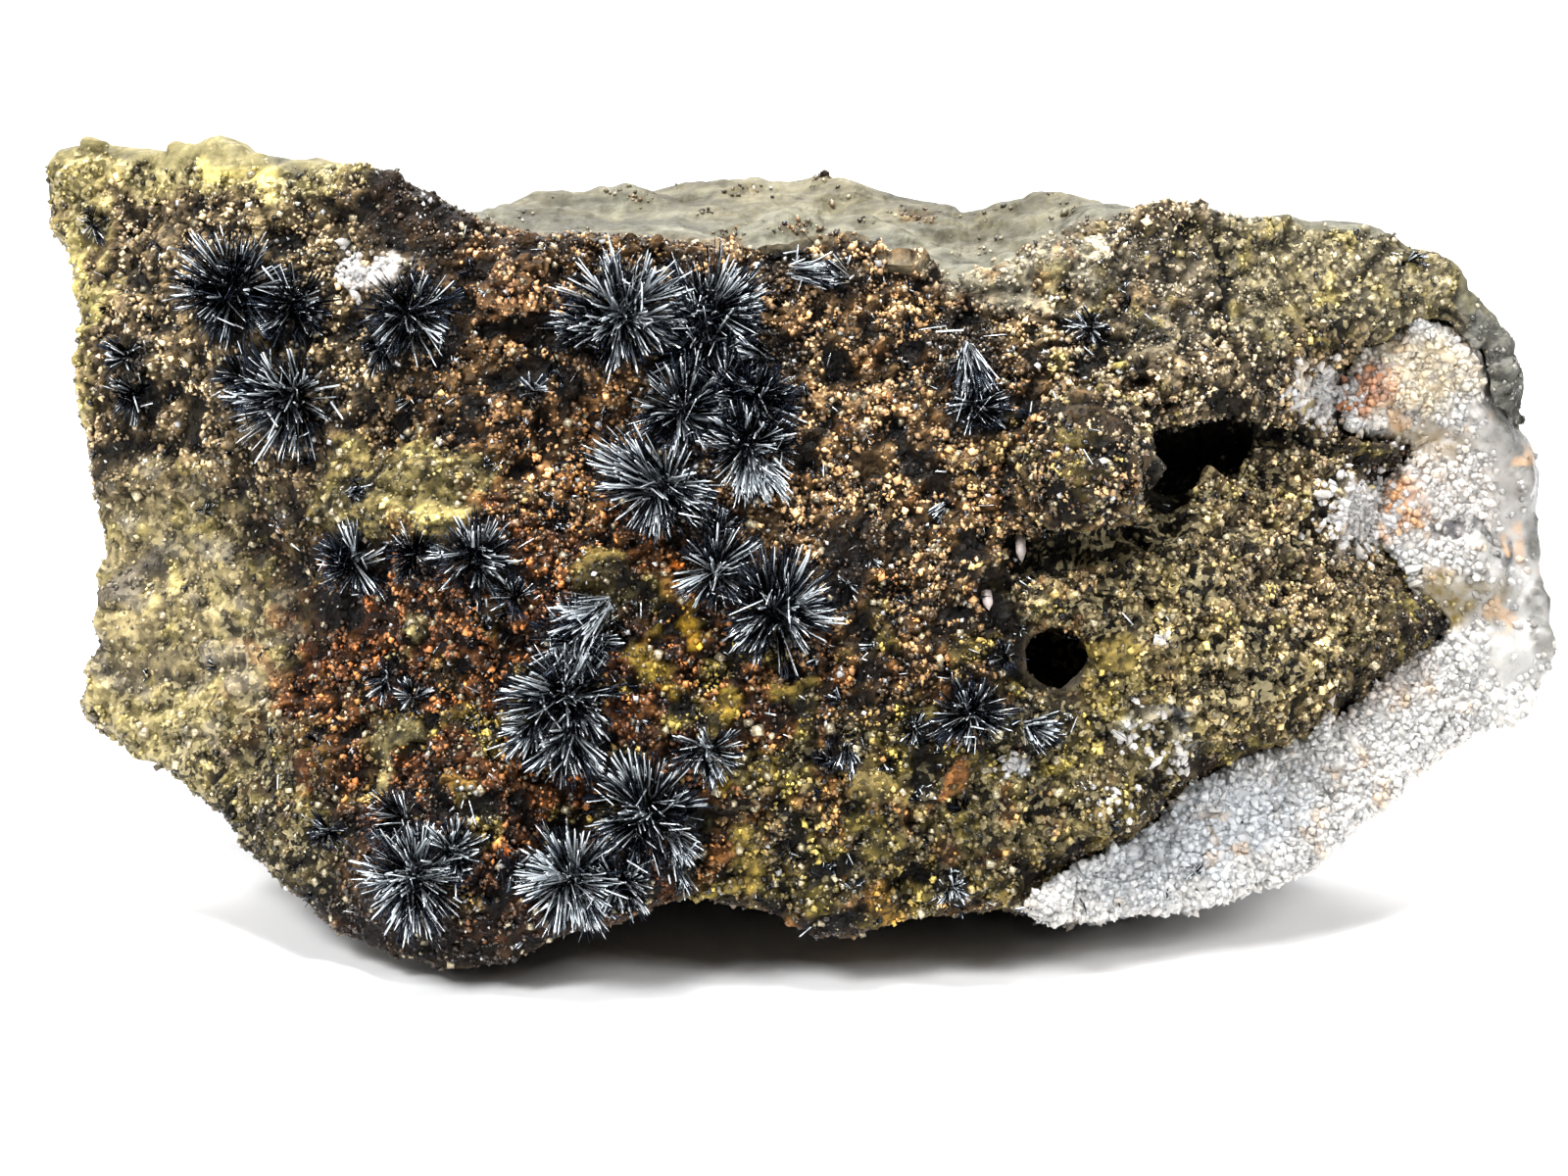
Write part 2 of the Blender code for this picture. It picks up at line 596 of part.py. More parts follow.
clear_scene()
SPECIMEN = new_collection("stibnite_specimen")
CUTTERS = new_collection("cutters", shown=False)
SULPHIDE_FINISH = new_material(SULPHIDE)
QUARTZ_FINISH = new_material(QUARTZ)
STIBNITE_FINISH = new_material(STIBNITE)
STAND = bpy.data.objects.new("stand", None)
SPECIMEN.objects.link(STAND)
main()
STAND.rotation_euler = (-math.radians(FACE_LEAN), 0.0, 0.0)
STAND.location = Vector((FACE_ACROSS, FACE_FORWARD, FACE_HEIGHT)) * MM
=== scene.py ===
import math

import bmesh
import bpy
import numpy as np
from mathutils import Matrix, Vector, noise
from mathutils.bvhtree import BVHTree


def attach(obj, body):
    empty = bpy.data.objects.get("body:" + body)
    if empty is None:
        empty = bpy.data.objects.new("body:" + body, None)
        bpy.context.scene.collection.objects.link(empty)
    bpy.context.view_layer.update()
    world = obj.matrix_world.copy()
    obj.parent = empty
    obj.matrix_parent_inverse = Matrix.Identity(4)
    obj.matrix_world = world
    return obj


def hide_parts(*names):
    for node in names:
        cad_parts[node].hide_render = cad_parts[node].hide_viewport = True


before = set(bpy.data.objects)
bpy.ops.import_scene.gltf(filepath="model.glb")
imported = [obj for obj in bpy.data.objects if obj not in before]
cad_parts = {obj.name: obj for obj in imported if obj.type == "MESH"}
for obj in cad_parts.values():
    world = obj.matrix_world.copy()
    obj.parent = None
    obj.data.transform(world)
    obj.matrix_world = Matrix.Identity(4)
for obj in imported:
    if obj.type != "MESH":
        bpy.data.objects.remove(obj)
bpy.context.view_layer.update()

MM = 0.001

# The face frame: X across the face, Y away from the viewer, Z up the face, with the origin in its middle
FACE_LEAN = 13.0
FACE_PLACE = (-0.9, -10.5, 27.4)
VIEW_DISTANCE = 300.0
VIEW_LENS = 94.5

# Surface of the block and the vein, in millimetres
ROCK_VOXEL = 1.15
QUARTZ_VOXEL = 0.8
FINE_CUTS = 2
CRUMB_VERTICES = 200
CLOSE_GAP = 0.15
CLUMP_SIZE = 1.5
CHIP_SIZE = 2.2
FACET_SIZE = 8.0

# Colours, as they would be named in a paint box
BROWN_DARK = "#2c1e12"
BROWN_TAN = "#c39c6e"
BROWN_RUST = "#8a572d"
BROWN_DULL = "#b89f78"
GOLD_OLIVE = "#b7a272"
GOLD_PALE = "#706548"
GOLD_DARK = "#3d3521"
SILVER_GREY = "#b4b8bd"
QUARTZ_WHITE = "#c8c3bc"
QUARTZ_STAIN = "#c07c48"

# Patches of the face: middle and half size as seen from the front (across, up), turn in degrees, colour,
# how metallic it is, and how thickly it is grown over with raised grains
PATCHES = {
    "centre_crust": ((-6.0, 6.0), (26.0, 22.0), 0.0, "#8a6942", 0.10, 0.85),
    "brown_crust": ((9.5, 13.5), (19.0, 12.5), -6.0, BROWN_TAN, 0.05, 1.0),
    "rust_crust": ((-18.0, -8.5), (18.0, 14.0), 8.0, BROWN_RUST, 0.05, 0.9),
    "rust_above_balls": ((-16.0, 12.0), (6.0, 5.0), 0.0, "#cf9c68", 0.05, 0.9),
    "upper_left_crust": ((-42.0, 19.0), (13.0, 12.0), 0.0, BROWN_DULL, 0.05, 0.7),
    "upper_left_gold": ((-41.0, 31.0), (15.0, 3.4), 4.0, "#857a4e", 0.45, 0.3),
    "nub": ((-20.0, 22.2), (4.0, 3.4), 0.0, "#c99768", 0.05, 0.9),
    "plates": ((-27.5, 7.0), (7.5, 3.8), 6.0, "#8d8050", 0.25, 0.3),
    "left_break": ((-46.0, -3.5), (9.8, 12.0), 8.0, GOLD_PALE, 0.35, 0.2),
    "left_break_edge": ((-42.5, -12.0), (9.0, 4.2), -24.0, "#736943", 0.5, 0.2),
    "lower_left": ((-37.0, -16.5), (7.5, 5.0), -40.0, GOLD_DARK, 0.3, 0.5),
    "olive_under_chain": ((-10.0, -0.6), (3.4, 1.8), 0.0, "#7c6e34", 0.2, 0.5),
    "gold_lobe": ((30.0, -1.5), (13.5, 9.5), -14.0, GOLD_OLIVE, 0.4, 0.7),
    "knob": ((21.6, 9.0), (5.4, 5.2), 0.0, "#8c7452", 0.12, 1.0),
    "ledge": ((31.0, 18.5), (13.0, 9.0), -18.0, "#dbc39b", 0.2, 0.85),
    "ledge_gold": ((40.0, 22.0), (10.0, 6.0), -24.0, "#90866a", 0.3, 0.5),
    "grey_slope": ((21.0, 22.6), (10.0, 2.6), -6.0, "#a59d88", 0.1, 0.35),
    # A pale gold patch painted as the highlight of a facet
    "gold_glint": ((-39.2, 30.2), (2.4, 1.4), -10.0, "#b0a15c", 0.4, 0.16),
    "lobe_right": ((38.0, 3.6), (7.0, 7.0), 0.0, "#a18963", 0.3, 0.8),
    "ledge_right": ((39.0, 14.6), (5.0, 4.0), 0.0, "#927b57", 0.25, 0.85),
    "lower_olive": ((7.0, -17.0), (14.0, 7.0), -4.0, "#7f6e41", 0.25, 0.7),
    "lower_olive_right": ((20.0, -13.0), (9.0, 6.0), 24.0, "#7f7248", 0.3, 0.6),
    "silver_patch": ((26.4, -10.6), (3.2, 1.0), 20.0, SILVER_GREY, 0.2, 0.3),
    "silver_speck": ((16.4, -12.9), (1.0, 1.2), 0.0, SILVER_GREY, 0.2, 0.3),
    "white_patch": ((-30.6, 23.0), (2.3, 1.3), 0.0, "#cfc8c2", 0.0, 0.0),
    "left_rim": ((-51.8, 17.0), (1.3, 12.0), -6.0, "#857a4a", 0.4, 0.2),
    "left_break_grey": ((-47.6, 1.4), (3.0, 1.4), 10.0, "#665e50", 0.2, 0.2),
    "left_break_grey_low": ((-46.0, -5.6), (3.4, 1.2), -10.0, "#6c624b", 0.2, 0.2),
    "ledge_grey": ((27.6, 21.4), (4.4, 4.6), -12.0, "#867b66", 0.1, 0.5),
    # Small golden flakes, painted pale and bright: real crystals with a painted highlight
    "golden_flake_glint": ((28.6, 5.4), (0.9, 0.4), 0.0, "#d8c878", 0.3, 0.0),
    "upper_golden_glint": ((25.3, 16.6), (0.6, 0.6), 0.0, "#cdbd70", 0.3, 0.0),
    "quartz_upper": ((39.8, 13.8), (2.4, 1.9), 0.0, "#b9aea0", 0.0, 0.0),
    "quartz_middle": ((42.4, 5.4), (2.3, 3.0), 0.0, "#b9b0a6", 0.0, 0.0),
}
# Nodules of the face in the same way: middle, half size, turn, colour and height
NODULES = {
    "scaly": ((6.6, -14.9), (2.2, 1.6), 0.0, "#857545", 0.9),
    "olive": ((7.6, -18.6), (2.0, 1.6), 20.0, "#80733c", 0.7),
    "striped": ((6.4, -23.1), (1.9, 1.4), 0.0, "#a07c34", 0.8),
    "honey": ((-9.3, -5.0), (0.7, 2.0), 10.0, "#7d6a26", 0.6),
    "honey_bright": ((-6.3, -2.4), (1.1, 0.6), 0.0, "#b08a28", 0.5),
    "yellow_mid": ((0.2, -7.0), (1.4, 0.8), 0.0, "#94813c", 0.6),
    "yellow_low": ((-5.0, -9.2), (1.8, 0.8), 10.0, "#9a8636", 0.5),
    "yellow_foot": ((-3.6, -20.4), (0.9, 1.0), 0.0, "#927e3c", 0.5),
    "nugget": ((-4.4, -15.4), (1.2, 1.0), 0.0, "#b8942c", 0.8),
    "grey_nodule": ((-29.0, -11.6), (2.6, 1.4), 0.0, "#837a55", 0.9),
    "pale_nodule": ((-27.9, -4.0), (1.5, 1.3), 0.0, "#a59a6c", 0.9),
    "orange_low": ((-24.4, -14.9), (1.5, 0.8), 0.0, "#98743a", 0.6),
    "orange_spot": ((-19.6, -20.0), (0.5, 0.6), 0.0, "#c8651e", 0.3),
    "orange_right": ((11.9, -12.6), (1.2, 0.7), 0.0, "#8f5c34", 0.4),
    "orange_mid": ((-8.0, 2.4), (0.9, 0.6), 0.0, "#b5601f", 0.3),
    "gold_right": ((23.8, -4.8), (1.9, 2.0), 0.0, "#a08c48", 0.7),
    "olive_mound": ((-14.6, 0.9), (2.2, 1.4), 0.0, "#8f7f45", 0.7),
}
# Smaller patches that are strewn over wider parts of the face: colour, size, how rare they are, strength, and
# the middle and half size of the part
STREWN = [
    ("#9a5a2c", 2.4, 0.02, 0.8, (-17.0, -8.0), (20.0, 15.0)),
    ("#a8703a", 1.8, 0.12, 0.6, (2.0, -2.0), (24.0, 24.0)),
    ("#95853e", 2.8, 0.10, 0.85, (-2.0, -13.0), (30.0, 12.0)),
    ("#b08a5c", 2.2, 0.10, 0.6, (10.0, 14.0), (20.0, 13.0)),
    ("#14120f", 1.3, 0.20, 0.7, (-8.0, -2.0), (44.0, 26.0)),
    ("#a1935a", 1.8, 0.16, 0.5, (-44.0, -4.0), (11.0, 15.0)),
    ("#6c665a", 2.2, 0.12, 0.7, (-46.0, -2.0), (11.0, 12.0)),
    ("#b5a45c", 1.6, 0.18, 0.6, (34.0, 6.0), (20.0, 24.0)),
    ("#5a503c", 2.4, 0.12, 0.6, (34.0, 4.0), (20.0, 24.0)),
]
TOP_COLOUR = "#5b594c"
TOP_RIDGE = "#5c5745"
BREAK_COLOUR = "#4d483f"
BREAK_RUST = "#574535"
# Patches of the block's right end, painted over its broken sides
END_PATCHES = {
    "right_grey": ((52.6, 17.0), (3.6, 9.0), 12.0, "#64635d", 0.1, 0.2),
    "right_grey_top": ((49.0, 23.4), (4.6, 1.8), -38.0, "#67634f", 0.2, 0.1),
    "top_left": ((-40.0, 34.0), (17.0, 3.0), 0.0, "#756d4b", 0.3, 0.1),
}

# Hollows of the face, as seen from the front: middle, half size, turn and how deep they go; each is pushed in and
# painted dark by its depth, as painted shade
HOLLOWS = {
    "upper_hollow": ((30.8, 10.1), (3.7, 1.8), 20.0, 2.6),
    "hollow_left": ((28.6, 9.2), (1.8, 2.1), 10.0, 2.4),
    "hollow_slit": ((35.4, 11.0), (3.6, 0.8), -3.0, 1.8),
    "round_hole": ((19.5, -5.4), (2.7, 2.2), 0.0, 1.6),
    "hole_roof": ((16.8, -2.6), (2.2, 1.0), -30.0, 1.2),
    "under_nub": ((-17.6, 18.6), (2.8, 1.3), -14.0, 1.2),
    "chain_shade": ((-19.0, 15.4), (3.0, 1.0), 20.0, 0.8),
    "crust_cleft": ((5.6, 3.4), (2.6, 1.6), -30.0, 0.45),
    "left_cleft": ((-32.0, -2.2), (4.4, 1.2), -8.0, 0.45),
    "lower_cleft": ((1.0, -8.6), (3.4, 1.0), 24.0, 0.45),
    "knob_side": ((27.9, 7.4), (1.4, 4.0), 8.0, 2.6),
    "knob_foot": ((22.2, 3.0), (5.4, 1.4), 8.0, 2.6),
    "prism_shade": ((17.4, 2.2), (1.1, 2.0), 20.0, 1.4),
    "hole_side": ((15.4, -0.4), (1.4, 1.8), 20.0, 1.2),
    "ledge_crack": ((31.9, 23.4), (0.45, 3.8), 6.0, 0.8),
    "ball_shade": ((4.6, 1.2), (1.6, 3.4), -20.0, 0.55),
    "great_ball_shade": ((-12.0, -13.4), (2.4, 1.4), 10.0, 0.55),
    "fan_shade": ((14.2, 12.6), (2.8, 1.6), 0.0, 0.55),
}

# Swellings of the face in the same way
BULGES = {
    "knob": ((21.9, 8.9), (5.2, 5.2), 0.0, 3.4),
    "nub": ((-20.0, 22.0), (3.4, 3.0), 0.0, 1.2),
    "plate_upper": ((-25.0, 8.6), (5.0, 1.2), 12.0, 0.9),
    "plate_lower": ((-31.0, 6.0), (4.4, 1.3), -6.0, 0.9),
    "plate_tongue": ((-26.0, 5.0), (1.4, 2.4), 20.0, 0.8),
    "boss_left": ((-33.0, -12.0), (3.0, 2.4), 0.0, 0.8),
    "boss_low": ((-3.0, -14.8), (2.6, 2.0), 0.0, 0.7),
    "boss_mid": ((3.0, -5.4), (3.0, 2.0), -20.0, 0.7),
    "boss_crust": ((9.6, 8.4), (3.4, 2.6), 30.0, 0.7),
    "boss_prism": ((14.0, 2.0), (2.4, 1.8), -20.0, 0.9),
    "rib_lobe": ((33.0, 3.4), (9.0, 1.6), -12.0, 0.9),
    "rib_lobe_low": ((27.0, -3.0), (9.0, 1.6), -18.0, 0.9),
    "lobe_tip": ((48.0, -0.6), (3.6, 1.8), 10.0, 0.6),
    "hole_lip": ((24.0, -2.4), (2.6, 2.4), 0.0, 0.9),
}

# Sprays of needles: balls as (across, up, radius, tilt across, tilt up, half angle of the fan, brightness), where
# brightness is how many needles are painted light rather than dark
SPRAYS = {
    "stibnite_upper_left": [(-40.6, 22.0, 4.6, -0.2, 0.2, 98, 0.4), (-35.9, 20.6, 3.6, 0.2, -0.1, 98, 0.1)],
    "stibnite_shoulder": [(-35.8, 13.9, 4.7, -0.8, -0.5, 75, 0.7), (-39.4, 15.4, 2.9, -0.4, 0.3, 80, 0.1)],
    "stibnite_dark_ball": [(-27.1, 20.0, 3.8, 0.1, 0.0, 100, 0.3), (-29.4, 17.6, 2.3, -0.5, -0.4, 80, 0.3)],
    "stibnite_left_edge": [(-49.0, 17.4, 2.4, -0.6, 0.4, 70, 0.6), (-48.8, 14.6, 2.4, -0.5, -0.3, 75, 0.4)],
    "stibnite_corner": [(-52.4, 27.6, 1.9, 0.4, -0.5, 55, 0.6)],
    "stibnite_mid_left": [(-31.1, 1.8, 3.3, -0.1, -0.2, 100, 0.3), (-26.4, 2.4, 2.6, 0.0, 0.2, 95, 0.3),
                          (-22.1, 2.1, 3.5, 0.2, 0.0, 95, 0.7)],
    "stibnite_blade": [(-31.6, 7.0, 1.9, 1.2, -0.6, 25, 1.0), (-30.6, 7.2, 1.5, -0.5, 0.2, 50, 0.4)],
    "stibnite_chain": [(-11.6, 19.8, 5.0, -0.6, 0.35, 88, 0.9), (-13.2, 18.6, 4.0, -1.8, 0.1, 28, 0.9),
                       (-5.4, 20.0, 4.3, -0.4, 0.4, 85, 0.6), (-4.8, 20.1, 3.9, 1.7, 1.0, 34, 1.0),
                       (-5.7, 17.4, 4.0, 0.0, 0.0, 100, 0.4), (-1.0, 16.8, 3.0, -1.9, 0.2, 28, 0.8),
                       (-7.3, 12.8, 4.1, -0.3, 0.4, 95, 0.7), (-2.2, 13.4, 3.6, 0.2, 0.3, 100, 0.3), (-4.4, 14.6, 3.2, 0.0, 0.0, 100, 0.2),
                       (-2.3, 10.2, 4.1, 0.1, -0.6, 75, 0.6), (-2.3, 9.8, 4.1, 0.0, -1.8, 32, 1.4),
                       (-8.9, 7.4, 5.2, -1.3, 0.8, 34, 0.9), (-8.9, 7.2, 4.6, 1.6, -0.5, 26, 0.8),
                       (-8.8, 7.2, 4.0, 0.1, -1.7, 28, 0.9), (-8.6, 7.2, 3.2, 0.2, 0.4, 70, 0.3),
                       (-4.8, 1.2, 3.4, -0.2, 0.0, 92, 0.6), (-5.0, 3.8, 2.6, 0.4, 0.4, 70, 0.5),
                       (-0.6, -1.6, 4.5, 0.1, 0.0, 98, 0.8)],
    "stibnite_high_fan": [(0.4, 23.0, 3.4, 2.6, -0.2, 20, 1.0), (4.6, 22.4, 2.4, -2.2, 0.3, 28, 0.9)],
    "stibnite_small_ball": [(-19.2, -0.6, 1.9, -0.1, 0.2, 90, 0.4)],
    "stibnite_great_ball": [(-12.4, -1.2, 4.5, -1.7, -1.0, 26, 1.0), (-15.6, -7.6, 4.6, 0.0, 0.0, 105, 0.9),
                            (-14.8, -3.8, 3.4, 0.0, 0.3, 95, 0.8), (-15.4, -10.4, 4.0, -0.1, -1.5, 45, 1.0),
                            (-17.6, -9.6, 3.2, -1.2, -1.0, 40, 0.9)],
    "stibnite_arc": [(-5.4, -11.4, 3.0, 0.3, -0.5, 75, 0.9)],
    "stibnite_low_centre": [(-9.8, -15.9, 4.4, -0.1, 0.2, 98, 0.8), (-7.9, -17.2, 3.0, 0.2, -1.6, 40, 1.0),
                            (-7.6, -19.6, 2.3, 0.7, -1.8, 12, 1.0), (-11.6, -20.9, 3.0, 0.1, -0.2, 92, 0.8),
                            (-15.0, -20.5, 4.2, -0.1, -0.1, 98, 1.0), (-19.2, -20.1, 2.0, -0.3, 0.0, 90, 0.1)],
    "stibnite_foot": [(-27.2, -16.8, 2.9, 0.1, 0.4, 92, 0.3), (-26.2, -20.6, 4.5, 0.0, -0.2, 98, 0.9),
                      (-23.4, -18.8, 3.0, 0.6, 0.8, 60, 1.0)],
    "stibnite_right_fan": [(13.2, 17.4, 4.2, 0.3, -2.6, 28, 0.8), (14.0, 13.2, 2.9, 0.1, -0.4, 95, 0.1)],
    "stibnite_right_speck": [(22.4, 18.9, 1.8, 0.1, 0.1, 85, 0.8)],
    "stibnite_lower_right": [(13.3, -8.9, 3.2, 0.1, 0.0, 98, 0.5), (9.3, -9.9, 1.6, -0.2, 0.0, 80, 0.4)],
    "stibnite_hollow_edge": [(15.8, -4.8, 1.5, -0.1, 0.2, 85, 0.2)],
    "stibnite_silver_fan": [(4.6, -11.0, 2.4, 0.1, -1.9, 30, 1.0), (3.2, -12.2, 1.5, -0.3, 0.0, 80, 0.3)],
    "stibnite_blue_fan": [(17.2, -9.8, 2.7, 1.6, -0.8, 36, 0.8), (18.6, -10.6, 1.6, 0.2, 0.0, 80, 0.5)],
    "stibnite_bottom_tuft": [(12.0, -21.4, 1.8, 0.1, 0.2, 75, 0.9)],
    "stibnite_low_left": [(-33.2, -17.8, 1.8, -0.2, 0.0, 90, 0.2)],
    "stibnite_rust_tuft": [(-28.8, -6.6, 1.8, -0.5, 0.1, 80, 0.3), (-26.6, -7.8, 1.7, 0.4, -0.1, 75, 0.6)],
    "stibnite_left_speck": [(-18.2, 14.1, 1.5, 0.0, 0.2, 85, 0.6)],
}

# Tufts that stand alone on the face: across, up, radius and brightness, which is how many needles are painted light
TUFTS = [
    (-21.9, -2.7, 1.1, 0.2), (-22.2, -7.4, 0.9, 0.6), (-22.2, -10.6, 0.9, 0.2), (-33.9, -11.2, 1.2, 0.2),
    (4.1, -8.2, 1.3, 0.5), (7.3, -12.9, 0.8, 0.3), (9.6, -15.4, 1.3, 0.3), (13.1, -16.1, 1.5, 0.4),
    (3.5, -20.2, 1.1, 0.2), (4.9, -21.9, 1.0, 0.3), (-2.0, -22.6, 0.9, 0.1), (0.4, -19.2, 0.7, 0.1),
    (1.4, -19.6, 0.8, 0.1), (6.6, -4.1, 1.1, 0.6), (4.5, -16.1, 0.8, 0.3), (2.1, -14.7, 0.8, 0.3),
    (-42.2, 5.5, 1.3, 0.1), (-45.4, 24.8, 0.9, 0.1), (-41.6, 28.1, 0.9, 0.2), (-27.4, 13.9, 1.3, 0.4),
    (-24.2, 16.1, 0.9, 0.3), (-21.8, 9.0, 0.9, 0.8), (-19.4, 12.4, 1.0, 0.2), (-17.1, 16.1, 1.2, 0.2),
    (-16.3, 15.2, 0.9, 0.5), (-13.3, 12.8, 1.0, 0.2), (-16.8, 4.7, 1.1, 0.8), (-22.7, 23.1, 1.2, 0.1),
    (3.6, 5.4, 0.8, 1.0), (6.1, 11.0, 0.9, 0.4), (6.4, 2.0, 1.0, 0.6), (11.9, 6.1, 1.6, 0.7),
    (17.9, 12.5, 1.0, 0.3), (1.5, 13.9, 1.4, 0.6), (4.6, 0.4, 1.5, 0.5), (3.6, -2.0, 1.2, 0.5),
    (21.6, -3.6, 0.9, 0.1), (45.4, 23.9, 1.7, 0.5), (-41.4, -5.7, 0.8, 0.1), (-46.4, -6.4, 0.6, 0.1),
    (-38.0, -4.5, 0.8, 0.1), (33.6, -17.1, 0.6, 0.1), (30.0, -20.7, 0.8, 0.1), (27.9, -22.5, 0.6, 0.1),
    (24.6, 9.6, 0.9, 0.2), (19.0, 4.4, 0.9, 0.2), (8.6, 16.2, 0.8, 0.3), (-35.0, 9.4, 0.8, 0.3),
]
NEEDLES_PER_MM2 = 6.4
NEEDLE_HALF_WIDTH = (0.035, 0.08)
# Needle tints from near black, as painted shade, to silver, as painted light, on one lead-grey mineral
NEEDLE_SHADED_TINT = (0.016, 0.021, 0.031)
NEEDLE_LIT_SILVER = (0.88, 0.95, 1.0)
LOOSE_TUFTS = 150
LOOSE_NEEDLES = 1000

# White specks of small quartz points on the rock: middle as seen from the front, spread and how many
QUARTZ_SPECKS = [(-31.4, 23.2, 1.2, 70), (-29.2, 23.7, 0.7, 20), (26.0, -10.4, 2.2, 26), (28.6, -12.4, 1.3, 18),
                 (16.4, -12.9, 1.0, 16), (27.6, -3.6, 0.9, 8), (24.0, -15.6, 1.2, 14), (39.6, 13.9, 2.2, 380),
                 (42.2, 5.4, 2.7, 460)]

# Clear quartz prisms that stand alone: foot as seen from the front, turn from upright, half width and length
PRISMS = [(17.2, 3.8, 178.0, 0.42, 2.2), (14.7, -0.3, 170.0, 0.42, 1.5), (39.5, -9.0, 8.0, 0.55, 3.6)]


# Shader maths
class Value:
    """An output socket, so that shader maths can be written as an expression."""

    def __init__(self, nodes, socket):
        self.nodes = nodes
        self.socket = socket

    def maths(self, operation, other=None, swapped=False):
        pair = [self, other] if not swapped else [other, self]
        return self.nodes.make("ShaderNodeMath", {"operation": operation}, inputs={
            index: item for index, item in enumerate(pair) if item is not None})

    def __add__(self, other):
        return self.maths("ADD", other)

    def __sub__(self, other):
        return self.maths("SUBTRACT", other)

    def __rsub__(self, other):
        return self.maths("SUBTRACT", other, swapped=True)

    def __mul__(self, other):
        return self.maths("MULTIPLY", other)

    __radd__ = __add__
    __rmul__ = __mul__

    def clamped(self):
        return self.nodes.make("ShaderNodeClamp", {}, inputs={"Value": self})


class Finish:
    """A material, its Principled shader and the nodes that feed it."""

    def __init__(self, name, **sockets):
        self.material = bpy.data.materials.new(name)
        self.material.use_nodes = True
        self.tree = self.material.node_tree
        self.shader = self.tree.nodes["Principled BSDF"]
        self.set(**sockets)

    def make(self, kind, settings, inputs=None, output=0):
        node = self.tree.nodes.new(kind)
        for key, setting in settings.items():
            if key == "stops":
                ramp = node.color_ramp
                while len(ramp.elements) < len(setting):
                    ramp.elements.new(0.5)
                for element, (position, colour) in zip(ramp.elements, setting):
                    element.position = position
                    element.color = (*colour, 1.0)
            else:
                setattr(node, key, setting)
        for key, item in (inputs or {}).items():
            self.feed(node.inputs[key], item)
        return Value(self, node.outputs[output])

    def feed(self, socket, item):
        if isinstance(item, Value):
            self.tree.links.new(item.socket, socket)
        else:
            socket.default_value = item

    def set(self, **sockets):
        for name, item in sockets.items():
            self.feed(self.shader.inputs[name.replace("_", " ")], item)

    def place(self):
        return self.make("ShaderNodeTexCoord", {}, output="Object")

    def attribute(self, name, output="Color"):
        return self.make("ShaderNodeAttribute", {"attribute_name": name}, output=output)

    def noise(self, size, detail=3.0, roughness=0.6):
        """Noise whose features are about this many millimetres across."""
        return self.make("ShaderNodeTexNoise", {}, {
            "Vector": self.place(), "Scale": 1.0 / (size * MM), "Detail": detail, "Roughness": roughness})

    def cells(self, size, output="Distance"):
        return self.make("ShaderNodeTexVoronoi", {}, {
            "Vector": self.place(), "Scale": 1.0 / (size * MM)}, output=output)

    def spread(self, value, low, high):
        """A value stretched so that low becomes 0 and high becomes 1, cut off at both ends."""
        return self.make("ShaderNodeMapRange", {}, {"Value": value, "From Min": low, "From Max": high})

    def mix(self, factor, first, second, blend="MIX"):
        settings = {"data_type": "RGBA", "blend_type": blend}
        return self.make("ShaderNodeMix", settings, {0: factor, 6: first, 7: second}, output=2)

    def bump(self, height, distance, normal=None):
        inputs = {"Height": height, "Distance": distance * MM}
        if normal is not None:
            inputs["Normal"] = normal
        return self.make("ShaderNodeBump", {}, inputs, output="Normal")


def colour(text):
    """A hex colour as the linear values that Blender works in."""
    parts = [int(text[start:start + 2], 16) / 255 for start in (1, 3, 5)]
    return tuple(p / 12.92 if p <= 0.04045 else ((p + 0.055) / 1.055) ** 2.4 for p in parts)


def opaque(text):
    return (*colour(text), 1.0)


# Places on the block
LEAN = np.array(Matrix.Rotation(-math.radians(FACE_LEAN), 3, "X"))
ORIGIN = np.array(FACE_PLACE) * MM
RIB_TURN = np.array(Matrix.Rotation(math.radians(-14.0), 3, "Y"))


def in_face_frame(points):
    """World places, in metres, as face frame places in millimetres."""
    return (points - ORIGIN) @ LEAN / MM


def in_world(points):
    return points * MM @ LEAN.T + ORIGIN


def as_seen(places):
    """Where face frame places lie as seen from the front, in millimetres on the face plane."""
    nearer = 1.0 + places[:, 1] / VIEW_DISTANCE
    return places[:, 0] / nearer, places[:, 2] / nearer


def noise_at(places, size, seed=0.0):
    return np.array([noise.noise(p) for p in (places / size + seed).tolist()])


def fractal_at(places, size, seed=0.0, octaves=3):
    points = (places / size + seed).tolist()
    return np.array([noise.fractal(p, 0.8, 2.1, octaves) for p in points])


def cells_at(places, size, seed=0.0):
    """Distances to the nearest and the second nearest cell middle."""
    found = [noise.voronoi(p)[0][:2] for p in (places / size + seed).tolist()]
    return np.array(found).reshape(-1, 2).T


def tilt_of(place):
    """Three chance numbers that depend on a place alone. The library's own vector noise changes with each run."""
    return Vector((noise.noise(place), noise.noise(place.yzx), noise.noise(place.zxy)))


def facets_at(places, size, seed):
    """Heights, in millimetres, of facets tilted each in its own way, as on a broken face, and a tone for each."""
    found = []
    for place in (places / size + seed).tolist():
        distances, middles = noise.voronoi(place)
        heights = np.array([(Vector(place) - middle).dot(tilt_of(middle * 3.7)) for middle in middles])
        shares = (distances[3] + 0.001 - np.array(distances)) ** 3
        found.append((size * heights @ shares / shares.sum(), noise.noise(middles[0] * 5.3)))
    return np.array(found).reshape(-1, 2).T


def clumps_at(places, size, seed):
    """How near the middle of its lump a place is, and how near the cracks between the lumps."""
    warp = np.stack([noise_at(places, size, seed + step) for step in (1.0, 5.0, 9.0)], axis=1)
    near, far = cells_at(places + 0.45 * size * warp, size, seed)
    return 0.5 - near, 1.0 - ramp(far - near, 0.06, 0.30)


def ramp(values, low, high):
    share = np.clip((values - low) / (high - low), 0.0, 1.0)
    return share * share * (3.0 - 2.0 * share)


